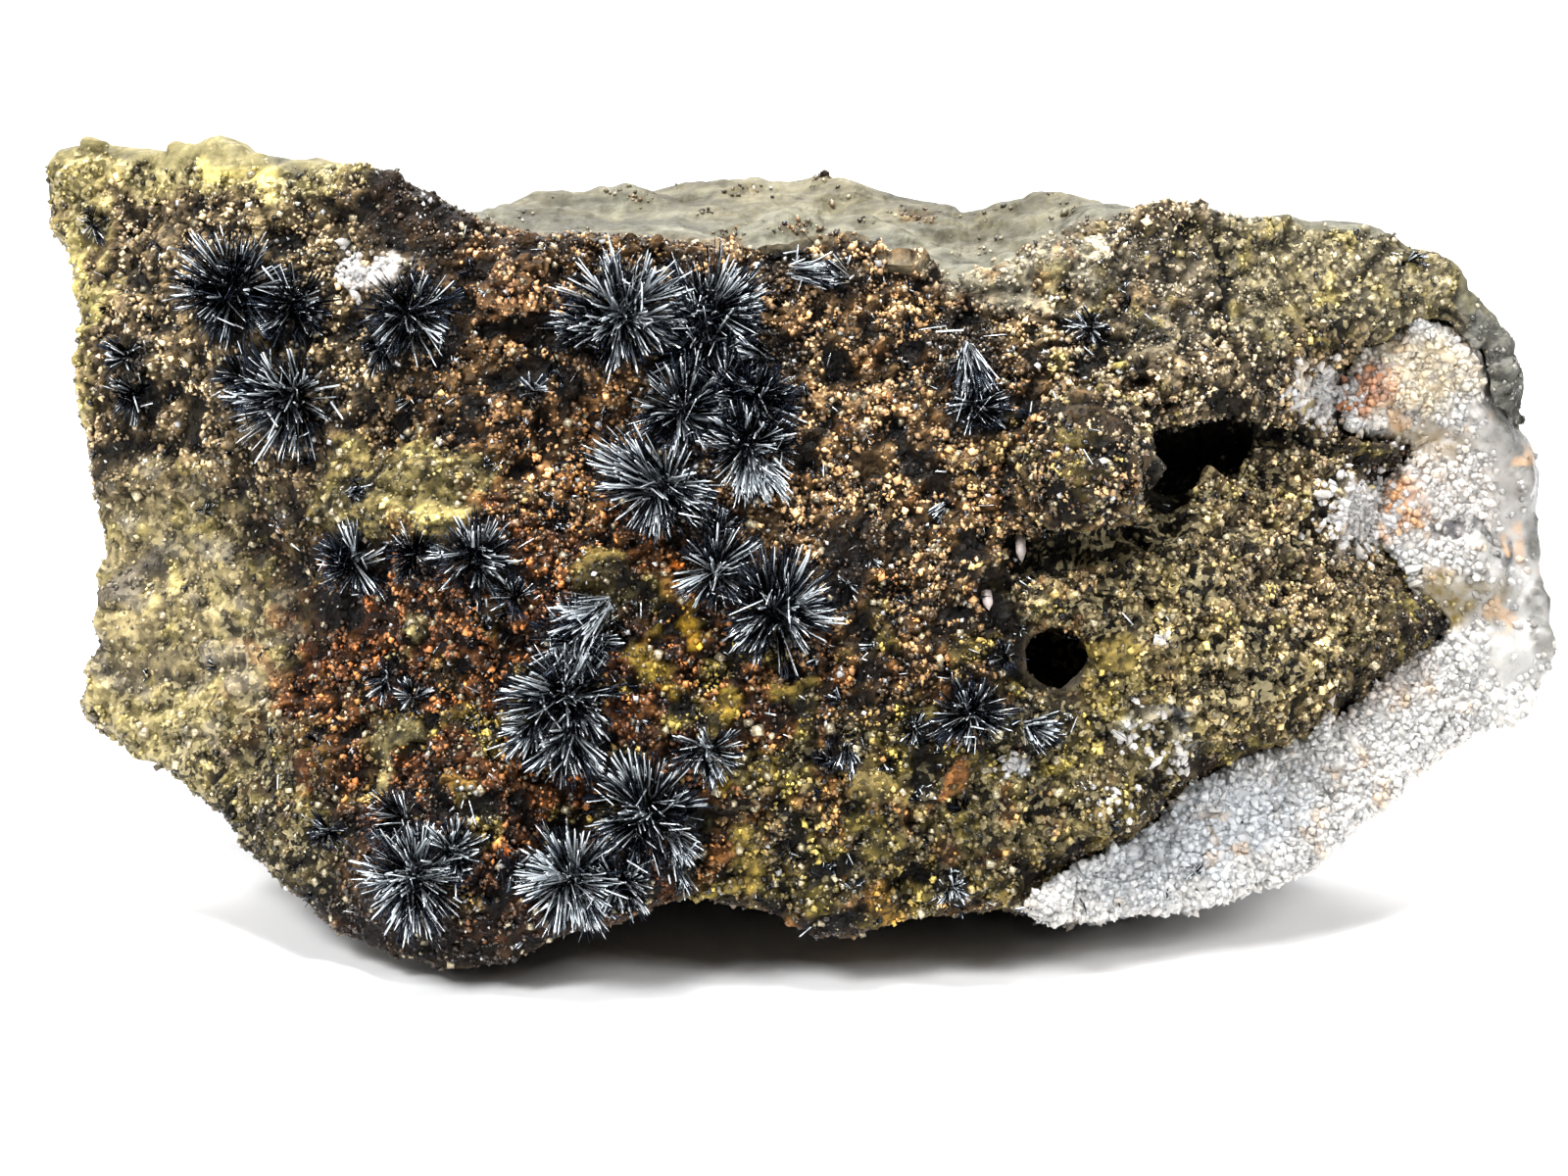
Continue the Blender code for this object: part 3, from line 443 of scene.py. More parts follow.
def reach(across, up, middle, half, turn):
    """How far out a place lies in a turned oval patch, which has its rim at 1."""
    angle = math.radians(turn)
    run = (across - middle[0]) * math.cos(angle) + (up - middle[1]) * math.sin(angle)
    rise = (up - middle[1]) * math.cos(angle) - (across - middle[0]) * math.sin(angle)
    return np.hypot(run / half[0], rise / half[1])


def patch_mask(across, up, middle, half, turn, soft=0.28):
    return 1.0 - ramp(reach(across, up, middle, half, turn), 1.0 - soft, 1.0 + soft)


def ribs_at(places):
    """The low ribs that run across the golden rock, from about -1 in the furrows to 1 on the crests."""
    return 1.0 - 2.4 * np.abs(noise_at(places @ RIB_TURN * (0.28, 1.0, 1.0), 1.7, 37.0))


def painted(places, normals):
    """Colour, metal share, grain cover and hollowness at places of the block, from its patches, with painted shade in
    the hollows, cracks and rib furrows and under the needle balls, and painted light on the rib crests.
    """
    across, up = as_seen(places)
    hollow = np.zeros(len(places))
    small = np.stack([noise_at(places, 1.4, 31.0), noise_at(places, 1.4, 43.0)])
    for middle, half, turn, depth in HOLLOWS.values():
        mask = patch_mask(across + 0.5 * small[0], up + 0.5 * small[1], middle, half, turn, 0.25)
        hollow = np.maximum(hollow, mask * depth)
    wander = np.stack([noise_at(places, 4.5, 11.0), noise_at(places, 4.5, 23.0)])
    across = across + 2.6 * wander[0] + 1.1 * small[0]
    up = up + 2.6 * wander[1] + 1.1 * small[1]
    paint = np.tile(colour(BROWN_DARK), (len(places), 1))
    metal = np.full(len(places), 0.15)
    grain = np.full(len(places), 0.5)
    for middle, half, turn, shade, metallic, cover in PATCHES.values():
        mask = patch_mask(across, up, middle, half, turn)
        paint += (np.array(colour(shade)) - paint) * mask[:, None]
        metal += (metallic - metal) * mask
        grain += (cover - grain) * mask

    mottle = noise_at(places, 3.0, 131.0) + 0.6 * noise_at(places, 1.1, 137.0)
    paint *= (0.6 + 0.7 * ramp(mottle, -0.5, 0.5))[:, None]
    for number, (shade, size, rare, strength, middle, half) in enumerate(STREWN):
        mask = ramp(noise_at(places, size, 300.0 + 17.0 * number), rare, rare + 0.16) * strength
        mask *= patch_mask(across, up, middle, half, 0.0)
        paint += (np.array(colour(shade)) - paint) * mask[:, None]
    for middle, half, turn, shade, _ in NODULES.values():
        mask = patch_mask(across, up, middle, half, turn, 0.2)
        paint += (np.array(colour(shade)) - paint) * (mask * (0.85 + 0.15 * small[0]))[:, None]
        grain += (0.38 - grain) * mask
        metal += (0.2 - metal) * mask
    # The golden rock is painted darker in the furrows of its ribs and lighter on their crests: painted shade and
    # painted light
    paint *= (1.0 + 0.45 * ribs_at(places) * ramp(metal, 0.15, 0.4))[:, None]
    # Painted shade under the needle balls: the rock and its grains are darkened where the balls stand
    shade_under_balls = np.zeros(len(places))
    for x, z, radius in ((ball[0], ball[1], ball[2]) for balls in SPRAYS.values() for ball in balls):
        shade_under_balls = np.maximum(shade_under_balls, 1.0 - ramp(np.hypot(places[:, 0] - x, places[:, 2] - z) / radius, 0.6, 0.85))
    paint *= (1.0 - 0.85 * shade_under_balls)[:, None]

    away = ramp(normals[:, 1], -0.35, 0.1)
    broken = ramp(noise_at(places, 9.0, 3.0) + 0.6 * noise_at(places, 2.6, 13.0), -0.3, 0.8)[:, None]
    rock = np.array(colour(BREAK_COLOUR)) * (1 - broken) + np.array(colour(BREAK_RUST)) * broken
    gilded = 0.7 * ramp(places[:, 2] + 14.0 * noise_at(places, 6.0, 211.0), 10.0, 26.0)[:, None]
    rock += (np.array(colour(TOP_RIDGE)) - rock) * gilded
    paint += (rock - paint) * away[:, None]
    metal += (0.22 - metal) * away
    grain += (0.12 - grain) * away
    hollow *= 1.0 - away

    top = ramp(normals[:, 2] + 0.5 * noise_at(places, 4.0, 141.0), 0.30, 0.75) * ramp(places[:, 1], 3.0, 6.5) * ramp(places[:, 2], 14.0, 19.0)
    ridge = ramp(places[:, 1] + 8.0 * noise_at(places, 5.0, 151.0), 9.0, 19.0)[:, None]
    streaks = 0.75 + 0.5 * ramp(noise_at(places * (0.35, 1.0, 1.0), 2.2, 171.0), -0.4, 0.4)[:, None]
    upper = (np.array(colour(TOP_COLOUR)) * (1 - ridge) + np.array(colour(TOP_RIDGE)) * ridge) * streaks
    paint += (upper - paint) * top[:, None]
    metal += (0.08 + 0.1 * ridge[:, 0] - metal) * top
    grain += (0.05 - grain) * top
    _, tone = facets_at(places, FACET_SIZE, 15.0)
    paint *= (1.0 + tone * (0.9 * away * (1.0 - top) + 0.3 * top))[:, None]
    metal += 0.25 * tone * away
    for middle, half, turn, shade, metallic, cover in END_PATCHES.values():
        mask = patch_mask(across, up, middle, half, turn)
        paint += (np.array(colour(shade)) - paint) * mask[:, None]
        metal += (metallic - metal) * mask
        grain += (cover - grain) * mask

    # Pits, cracks between clumps and seams between chips join the hollows, and the colour is darkened in all of them:
    # painted shade
    crust = ramp(grain, 0.25, 0.7)
    pits = ramp(-noise_at(places, 2.4, 101.0) - 0.5 * small[0], 0.14, 0.42) * crust
    _, cracks = clumps_at(places, CLUMP_SIZE, 7.0)
    _, seams = clumps_at(places * (0.6, 1.0, 1.0), CHIP_SIZE, 5.0)
    hollow = np.maximum(hollow, 0.7 * pits)
    hollow = np.maximum(hollow, 0.40 * cracks * crust)
    hollow = np.maximum(hollow, 0.28 * seams * (1.0 - crust) * ramp(grain, 0.08, 0.3))
    paint *= (1.0 - 0.95 * np.clip(hollow * 1.9, 0.0, 1.0))[:, None]
    return paint, metal, grain, hollow


# Meshes
def link(name, mesh):
    made = bpy.data.objects.new(name, mesh)
    bpy.context.scene.collection.objects.link(made)
    return made


def coordinates(mesh):
    values = np.empty(len(mesh.vertices) * 3)
    mesh.vertices.foreach_get("co", values)
    return values.reshape(-1, 3)


def vertex_normals(mesh):
    values = np.empty(len(mesh.vertices) * 3)
    mesh.vertices.foreach_get("normal", values)
    return values.reshape(-1, 3)


def store(mesh, name, values):
    """Keeps one colour or one number for each vertex."""
    if values.ndim == 2:
        layer = mesh.attributes.new(name, "FLOAT_COLOR", "POINT")
        layer.data.foreach_set("color", np.column_stack([values, np.ones(len(values))]).ravel())
    else:
        layer = mesh.attributes.new(name, "FLOAT", "POINT")
        layer.data.foreach_set("value", values.ravel())


def crumbs(bm):
    """The vertices of the loose bits of a mesh that are too small to be part of the rock."""
    unseen, found = set(bm.verts), set()
    while unseen:
        bit, edge = set(), {unseen.pop()}
        while edge:
            bit |= edge
            edge = {e.other_vert(v) for v in edge for e in v.link_edges} - bit
        unseen -= bit
        if len(bit) < CRUMB_VERTICES:
            found |= bit
    return [v for v in bm.verts if v in found]


def dense_copy(node, name, voxel, smoothings=2):
    """A smooth even copy of a CAD node's surface, with finer faces where it faces the viewer."""
    rough = link(name + "_rough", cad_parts[node].data.copy())
    bm = bmesh.new()
    bm.from_mesh(rough.data)
    bmesh.ops.remove_doubles(bm, verts=bm.verts, dist=0.00001)
    bm.to_mesh(rough.data)
    bm.free()
    remesh = rough.modifiers.new("even", "REMESH")
    remesh.mode = "VOXEL"
    remesh.voxel_size = voxel * MM
    bpy.context.view_layer.update()
    graph = bpy.context.evaluated_depsgraph_get()
    mesh = bpy.data.meshes.new_from_object(rough.evaluated_get(graph))
    bpy.data.objects.remove(rough, do_unlink=True)
    bm = bmesh.new()
    bm.from_mesh(mesh)
    bmesh.ops.delete(bm, geom=crumbs(bm), context="VERTS")
    for _ in range(smoothings):
        bmesh.ops.smooth_vert(bm, verts=bm.verts, factor=0.5, use_axis_x=True, use_axis_y=True, use_axis_z=True)
    bm.normal_update()
    towards = Vector(LEAN @ np.array((0.0, -1.0, 0.0)))
    edges = [e for e in bm.edges if any(f.normal.dot(towards) > 0.12 for f in e.link_faces)]
    bmesh.ops.subdivide_edges(bm, edges=edges, cuts=FINE_CUTS, use_grid_fill=True)
    fine = [v for v in bm.verts if v.normal.dot(towards) > 0.0]
    for _ in range(2):
        bmesh.ops.smooth_vert(bm, verts=fine, factor=0.5, use_axis_x=True, use_axis_y=True, use_axis_z=True)
    bmesh.ops.triangulate(bm, faces=[f for f in bm.faces if len(f.verts) > 4])
    bm.to_mesh(mesh)
    bm.free()
    return link(name, mesh)


def push_out(piece, amounts):
    """Moves the vertices along their normals by so many millimetres, and keeps the base flat."""
    points = coordinates(piece.data) + vertex_normals(piece.data) * (amounts * MM)[:, None]
    points[:, 2] = np.maximum(points[:, 2], 0.0)
    piece.data.vertices.foreach_set("co", points.ravel())
    piece.data.update()


def bulges(places):
    across, up = as_seen(places)
    across = across + 0.8 * noise_at(places, 2.4, 181.0)
    up = up + 0.8 * noise_at(places, 2.4, 191.0)
    swellings = [*BULGES.values(), *((middle, half, turn, height) for middle, half, turn, _, height in NODULES.values())]
    return sum(height * np.clip(1.0 - reach(across, up, middle, half, turn) ** 2, 0.0, 1.0) ** 0.8
               for middle, half, turn, height in swellings)


def make_block():
    block = dense_copy("matrix", "sulphide_block", ROCK_VOXEL)
    places = in_face_frame(coordinates(block.data))
    normals = vertex_normals(block.data) @ LEAN
    paint, metal, grain, hollow = painted(places, normals)
    clumps, _ = clumps_at(places, CLUMP_SIZE, 7.0)
    chips, _ = clumps_at(places * (0.6, 1.0, 1.0), CHIP_SIZE, 5.0)
    lumps, _ = clumps_at(places, 0.8, 9.0)
    facing = ramp(-normals[:, 1], 0.1, 0.5)
    facets, _ = facets_at(places + 0.5 * np.stack([noise_at(places, 3.0, 161.0)] * 3, axis=1), FACET_SIZE, 15.0)
    chipped, _ = facets_at(places, 3.4, 25.0)
    ribs = ribs_at(places)
    relief = (0.70 * facing + 0.30) * fractal_at(places, 5.5, 2.0)
    relief += 0.50 * chips * (1.0 - 0.8 * grain) * (0.35 + 0.65 * ramp(grain, 0.04, 0.2))
    behind = ramp(normals[:, 1], -0.1, 0.4)
    beside = (1.0 - np.maximum(facing, behind)) * ramp(places[:, 1], 3.0, 8.0)
    relief += (1.6 * np.tanh((1.2 * facets + 0.8 * chipped) / 1.6) - 0.4) * (behind + 0.25 * beside)
    relief += 0.75 * clumps * grain
    relief += 0.50 * lumps * (0.1 + grain)
    relief += 0.40 * ribs * ramp(metal, 0.15, 0.4) * facing
    relief += bulges(places) * facing
    relief += 0.12 * noise_at(places, 0.75, 17.0)
    push_out(block, relief - hollow + CLOSE_GAP)
    height = 0.8 * lumps + 0.6 * chips * (1.0 - grain) + 0.8 * clumps * grain + 0.4 * noise_at(places, 1.1, 71.0)
    height += 0.3 * ribs * ramp(metal, 0.15, 0.4)
    # Painted shade and painted light: the block is darker between its grains and where the surface lies low, lighter
    # on its lumps
    shade_under_grains = 1.0 - 0.7 * ramp(grain, 0.3, 0.8)
    deepest_shade = 0.03 + 0.57 * np.maximum(1.0 - ramp(grain, 0.1, 0.4), 0.5 * ramp(metal, 0.2, 0.4))
    store(block.data, "paint", paint * (shade_under_grains * (deepest_shade + (1.2 - deepest_shade) * ramp(height, -0.5, 0.4)))[:, None])
    store(block.data, "metal", metal)
    store(block.data, "rough", ramp(grain, 0.05, 0.35))
    block.data.materials.clear()
    block.data.materials.append(rock_finish())
    finished(block, ["matrix"])
    return block


def make_vein():
    vein = dense_copy("quartz", "quartz_vein", QUARTZ_VOXEL, 9)
    places = in_face_frame(coordinates(vein.data))
    lumps, cracks = clumps_at(places, 1.3, 41.0)
    paint, sugar = quartz_paint(places)
    relief = 0.45 * fractal_at(places, 4.0, 6.0) + (0.42 * lumps - 0.12 * cracks) * sugar
    push_out(vein, relief + 0.30)
    # The vein is painted darker in the cracks between its lumps: painted shade
    store(vein.data, "paint", paint * (1.0 - 0.12 * cracks * sugar)[:, None])
    vein.data.polygons.foreach_set("use_smooth", [True] * len(vein.data.polygons))
    vein.data.materials.clear()
    vein.data.materials.append(quartz_finish())
    finished(vein, ["quartz"])
    return vein


# Patches of the vein in the same way as the face's, with how sugary it is there: stains, and painted shade in the slit
# between the plates
VEIN_STAINS_AND_SHADE = {
    "slab": ((54.0, 5.0), (3.4, 15.0), -4.0, "#a19f9b", 1.0, 0.06),
    "slab_rim": ((55.3, 1.6), (1.0, 7.6), 4.0, "#504f4a", 0.9, 0.0),
    "slab_top": ((53.0, 12.6), (2.2, 8.8), 16.5, "#504f4a", 0.9, 0.0),
    "upper_cream": ((45.6, 15.4), (4.4, 3.0), 0.0, "#d2bb94", 0.85, 1.0),
    "upper_stain": ((41.6, 14.4), (3.4, 1.7), 8.0, "#a4602c", 0.95, 1.0),
    # Painted shade in the slit between the plates
    "plate_slit": ((43.8, 18.2), (2.1, 0.35), 4.0, "#1f1a16", 1.0, 0.0),
    "gold_band": ((45.4, 10.4), (4.8, 1.5), 0.0, "#63522a", 1.0, 0.12),
    "middle_cream": ((47.6, 6.6), (4.6, 3.6), 0.0, "#cfc2b5", 0.6, 1.0),
    "middle_stain": ((44.0, 5.9), (2.4, 2.1), 20.0, "#c8864f", 0.9, 1.0),
    "dark_arc": ((49.4, 4.3), (2.4, 0.5), -16.0, "#23262d", 0.95, 0.2),
    "dark_arc_end": ((52.3, 2.4), (0.45, 1.6), 0.0, "#23262d", 0.95, 0.2),
    "lobe_end": ((48.0, -1.4), (4.6, 1.9), 12.0, "#635426", 1.0, 0.12),
    "lower_pink": ((43.0, -6.0), (5.0, 2.4), 30.0, "#d3b8a2", 0.5, 1.0),
    "lower_grey": ((30.0, -18.0), (9.0, 3.4), 20.0, "#bcc0c4", 0.8, 1.0),
}


def quartz_paint(places):
    """Colour and sugariness at places of the vein."""
    across, up = as_seen(places)
    across = across + 1.3 * noise_at(places, 2.4, 51.0) + 0.6 * noise_at(places, 0.9, 53.0)
    up = up + 1.3 * noise_at(places, 2.4, 61.0) + 0.6 * noise_at(places, 0.9, 63.0)
    paint = np.tile(colour(QUARTZ_WHITE), (len(places), 1))
    sugar = np.ones(len(places))
    for middle, half, turn, shade, strength, sugary in VEIN_STAINS_AND_SHADE.values():
        mask = patch_mask(across, up, middle, half, turn, 0.4) * strength
        paint += (np.array(colour(shade)) - paint) * mask[:, None]
        sugar += (sugary - sugar) * mask
    specks = ramp(noise_at(places, 2.0, 77.0) + 0.6 * noise_at(places, 0.9, 87.0), 0.30, 0.62)[:, None]
    paint += (np.array(colour("#93908a")) - paint) * specks * 0.7
    tan = ramp(noise_at(places, 3.0, 97.0) + 0.5 * noise_at(places, 1.0, 99.0), 0.32, 0.6)[:, None]
    paint += (np.array(colour("#c9a176")) - paint) * tan * 0.6
    return paint, sugar


def finished(piece, nodes=()):
    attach(piece, "root")
    if nodes:
        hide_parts(*nodes)


# Many small shapes joined in one mesh
def shape_arrays(bm):
    """A small shape's vertices, and its faces as a list of vertex numbers."""
    bm.verts.ensure_lookup_table()
    corners = np.array([v.co for v in bm.verts])
    faces = [[v.index for v in f.verts] for f in bm.faces]
    bm.free()
    return corners, faces


def grain_shape():
    bm = bmesh.new()
    bmesh.ops.create_uvsphere(bm, u_segments=4, v_segments=2, radius=1.0)
    return shape_arrays(bm)


def flake_shape():
    """A four-sided shard, for the finest grains."""
    bm = bmesh.new()
    bmesh.ops.create_cone(bm, cap_ends=True, segments=3, radius1=1.1, radius2=0.0, depth=1.5)
    return shape_arrays(bm)


def cube_shape():
    bm = bmesh.new()
    bmesh.ops.create_cube(bm, size=1.6)
    return shape_arrays(bm)


def needle_shape():
    """A four-sided needle from Z 0 to 1, with a slanting tip."""
    bm = bmesh.new()
    made = bmesh.ops.create_cone(
        bm, cap_ends=True, segments=4, radius1=1.0, radius2=0.8, depth=0.92)["verts"]
    bmesh.ops.translate(bm, vec=(0.0, 0.0, 0.46), verts=made)
    cap = [f for f in bm.faces if all(v.co.z > 0.9 for v in f.verts)]
    tip = bmesh.ops.poke(bm, faces=cap, offset=0.0)["verts"][0]
    tip.co = (0.3, 0.0, 1.0)
    return shape_arrays(bm)


def sugar_shape():
    bm = bmesh.new()
    bmesh.ops.create_icosphere(bm, subdivisions=1, radius=1.0)
    return shape_arrays(bm)


def quartz_shape():
    """A six-sided prism from Z 0 to 1, ending in a point."""
    bm = bmesh.new()
    made = bmesh.ops.create_cone(
        bm, cap_ends=True, segments=6, radius1=1.0, radius2=0.92, depth=0.62)["verts"]
    bmesh.ops.translate(bm, vec=(0.0, 0.0, 0.31), verts=made)
    cap = [f for f in bm.faces if all(v.co.z > 0.6 for v in f.verts)]
    tip = bmesh.ops.poke(bm, faces=cap, offset=0.0)["verts"][0]
    tip.co = (0.1, 0.0, 1.0)
    return shape_arrays(bm)


def turned_to(axes, chance, roll=None):
    """For each axis a rotation that takes Z to it, with the given roll about it or a chance one."""
    axes = axes / np.linalg.norm(axes, axis=1)[:, None]
    helper = np.where(np.abs(axes[:, 2:]) > 0.9, (1.0, 0.0, 0.0), (0.0, 0.0, 1.0))
    side = np.cross(helper, axes)
    side /= np.linalg.norm(side, axis=1)[:, None]
    other = np.cross(axes, side)
    roll = (chance.uniform(0.0, 2 * math.pi, len(axes)) if roll is None else roll)[:, None]
    first = side * np.cos(roll) + other * np.sin(roll)
    second = other * np.cos(roll) - side * np.sin(roll)
    return np.stack([first, second, axes], axis=2)


def joined_copies(name, shape, places, turns, sizes, tints):
    """One mesh of many copies of a shape: places in metres, sizes along each copy's own axes."""
    corners, faces = shape
    count, each = len(places), len(corners)
    points = np.einsum("nij,nkj->nki", turns, corners[None] * sizes[:, None, :]) + places[:, None, :]
    lengths = np.array([len(f) for f in faces])
    loops = np.concatenate([np.array(f) for f in faces])
    steps = np.arange(count)[:, None]
    mesh = bpy.data.meshes.new(name)
    mesh.vertices.add(count * each)
    mesh.vertices.foreach_set("co", points.ravel())
    mesh.loops.add(count * len(loops))
    mesh.loops.foreach_set("vertex_index", (loops[None] + steps * each).ravel().astype(np.int32))
    starts = np.concatenate([[0], np.cumsum(lengths)[:-1]])
    mesh.polygons.add(count * len(faces))
    mesh.polygons.foreach_set("loop_start", (starts[None] + steps * len(loops)).ravel().astype(np.int32))
    mesh.update(calc_edges=True)
    mesh.validate()
    store(mesh, "tint", np.repeat(tints, each, axis=0))
    return link(name, mesh)


def surface_samples(piece, count, chance):
    """Chance places, evenly by area, on the part of a piece's surface that is not turned away from the viewer, with
    the surface's normals there.
    """
    mesh = piece.data
    mesh.calc_loop_triangles()
    corners = np.empty(len(mesh.loop_triangles) * 3, np.int32)
    mesh.loop_triangles.foreach_get("vertices", corners)
    points = coordinates(mesh)[corners.reshape(-1, 3)]
    cross = np.cross(points[:, 1] - points[:, 0], points[:, 2] - points[:, 0])
    area = np.linalg.norm(cross, axis=1)
    towards = np.array((cross @ LEAN)[:, 1] < 0.05 * area)
    weight = area * np.where(towards, 1.0, 0.0)
    chosen = chance.choice(len(area), count, p=weight / weight.sum())
    one, two = chance.uniform(size=(2, count))
    flip = one + two > 1.0
    one[flip], two[flip] = 1.0 - one[flip], 1.0 - two[flip]
    corner = points[chosen]
    places = corner[:, 0] + (corner[:, 1] - corner[:, 0]) * one[:, None]
    places += (corner[:, 2] - corner[:, 0]) * two[:, None]
    return places, cross[chosen] / area[chosen][:, None]


def make_grains(block):
    """The crust's grains: small angular crystals, tan, rusty, golden or black by where they sit."""
    chance = np.random.default_rng(5)
    places, normals = surface_samples(block, 240000, chance)
    face_places = in_face_frame(places)
    paint, metal, cover, hollow = painted(face_places, normals @ LEAN)
    clumps = 0.7 + 0.8 * noise_at(face_places, 1.6, 91.0)
    share = np.where(cover < 0.13, 0.0, cover) * np.clip(clumps, 0.2, 1.0) * np.clip(1.0 - 1.5 * hollow, 0.06, 1.0)
    kept = (chance.uniform(size=len(places)) < share) & (places[:, 2] > 0.5 * MM)
    places, normals, paint, metal, cover = places[kept], normals[kept], paint[kept], metal[kept], cover[kept]
    count = len(places)
    fine = chance.uniform(size=count) < 0.62
    size = np.where(fine[:, None], chance.uniform(0.09, 0.22, (count, 1)), 0.13 + 0.25 * chance.beta(1.3, 3.0, (count, 1)))
    size = size * chance.uniform(0.6, 1.4, (count, 3)) * MM
    patchy = 1.0 + 1.5 * noise_at(in_face_frame(places), 0.9, 201.0)[:, None]
    tints = paint * np.clip(patchy, 0.15, 2.6) * chance.uniform(0.2, 2.95, (count, 1))
    kind = chance.uniform(size=count)
    tints[kind < 0.16 * cover * (1.0 - metal)] = (0.008, 0.008, 0.01)
    # Pale grains painted as glints: painted highlights strewn over the crust
    highlight_grains = (kind > 0.90) & (kind < 0.925)
    tints[highlight_grains] = np.array((0.62, 0.62, 0.62)) * chance.uniform(0.4, 1.4, (highlight_grains.sum(), 1))
    golden = kind > 0.97 - 0.25 * metal
    tints[golden] = np.array((0.50, 0.43, 0.28)) * chance.uniform(0.4, 1.4, (golden.sum(), 1))
    axes = normals + chance.normal(0.0, 0.6, (count, 3))
    turns = turned_to(axes, chance)
    places = places + normals * size[:, :1] * 0.3
    shiny = metal + 0.35 * golden > 0.35
    brown, gold = grain_finish("brown_grain", 0.0, 0.26), grain_finish("golden_grain", 0.5, 0.26)
    for name, part, shape, finish in (
            ("brown_grains", ~shiny & ~fine, grain_shape(), brown),
            ("brown_flakes", ~shiny & fine, flake_shape(), brown),
            ("golden_grains", shiny & ~fine, cube_shape(), gold),
            ("golden_flakes", shiny & fine, flake_shape(), gold)):
        numbers = np.flatnonzero(part)
        batches = max(1, math.ceil(len(numbers) * sum(len(face) - 2 for face in shape[1]) / 190000))
        for number, batch in enumerate(np.array_split(numbers, batches), 1):
            piece = joined_copies(f"{name}_{number}", shape, places[batch], turns[batch], size[batch], tints[batch])
            piece.data.materials.append(finish)
            finished(piece)


def make_quartz_sugar(vein, tree):
    """The vein's sugary crust of small rounded grains and points, and white specks of it on the rock."""
    chance = np.random.default_rng(8)
    for name, shape, total, widths, slender, smooth in (
            ("quartz_sugar", sugar_shape(), 7600, (0.14, 0.42), (0.8, 1.5), True),
            ("quartz_points", quartz_shape(), 3600, (0.15, 0.36), (2.2, 4.4), False)):
        places, normals = surface_samples(vein, total, chance)
        paint, sugar = quartz_paint(in_face_frame(places))
        kept = (places[:, 2] > 1.2 * MM) & (chance.uniform(size=total) < sugar)
        places, normals, paint = places[kept], normals[kept], paint[kept]
        for across, up, spread, count in QUARTZ_SPECKS:
            spots = [seen_on(tree, x, y) for x, y in chance.normal((across, up), spread * 0.5, (count // 2, 2))]
            places = np.concatenate([places, [place for place, _ in spots]])
            normals = np.concatenate([normals, [normal for _, normal in spots]])
            paint = np.concatenate([paint, np.tile(colour("#bfb9b3"), (len(spots), 1))])
        count = len(places)
        width = chance.uniform(*widths, count)
        size = np.column_stack([width, width, width * chance.uniform(*slender, count)]) * MM
        axes = normals + chance.normal(0.0, 0.6, (count, 3))
        places = places - axes / np.linalg.norm(axes, axis=1)[:, None] * size[:, 2:] * 0.45
        tints = paint * chance.uniform(0.72, 1.12, (count, 1))
        piece = joined_copies(name, shape, places, turned_to(axes, chance), size, tints)
        piece.data.polygons.foreach_set("use_smooth", [smooth] * len(piece.data.polygons))
        piece.data.materials.append(quartz_finish("tint"))
        finished(piece)


def make_prisms(tree):
    """The few clear quartz prisms that stand apart, each leaning a little off the rock."""
    chance = np.random.default_rng(14)
    places, axes, sizes = [], [], []
    for across, up, turn, width, length in PRISMS:
        place, _ = seen_on(tree, across, up)
        angle = math.radians(turn)
        axes.append(LEAN @ np.array((math.sin(angle), -0.5, math.cos(angle))))
        places.append(place)
        sizes.append((width * MM, width * MM, length * MM))
    tints = np.tile(colour("#b9aaa4"), (len(PRISMS), 1))
    turns = turned_to(np.array(axes), chance)
    piece = joined_copies("quartz_prisms", quartz_shape(), np.array(places), turns, np.array(sizes), tints)
    piece.data.materials.append(quartz_finish("tint"))
    finished(piece)


SIGHT = Vector(LEAN @ np.array((0.0, 1.0, 0.0)))


def surface_tree(pieces):
    """The surfaces of some pieces, to cast rays at."""
    bm = bmesh.new()
    for piece in pieces:
        bm.from_mesh(piece.data)
    tree = BVHTree.FromBMesh(bm)
    bm.free()
    return tree


def seen_on(tree, across, up):
    """The place and normal, in the world, of the surface that shows at a place as seen from the front."""
    eye = Vector(in_world(np.array((0.0, -VIEW_DISTANCE, 0.0))))
    aim = Vector(in_world(np.array((across, 0.0, up)))) - eye
    hit, normal, _, _ = tree.ray_cast(eye, aim.normalized())
    if hit is None:
        return np.array((0.0, 0.0, 30.0)) * MM, np.array((0.0, -1.0, 0.0))
    return np.array(hit), np.array(normal)


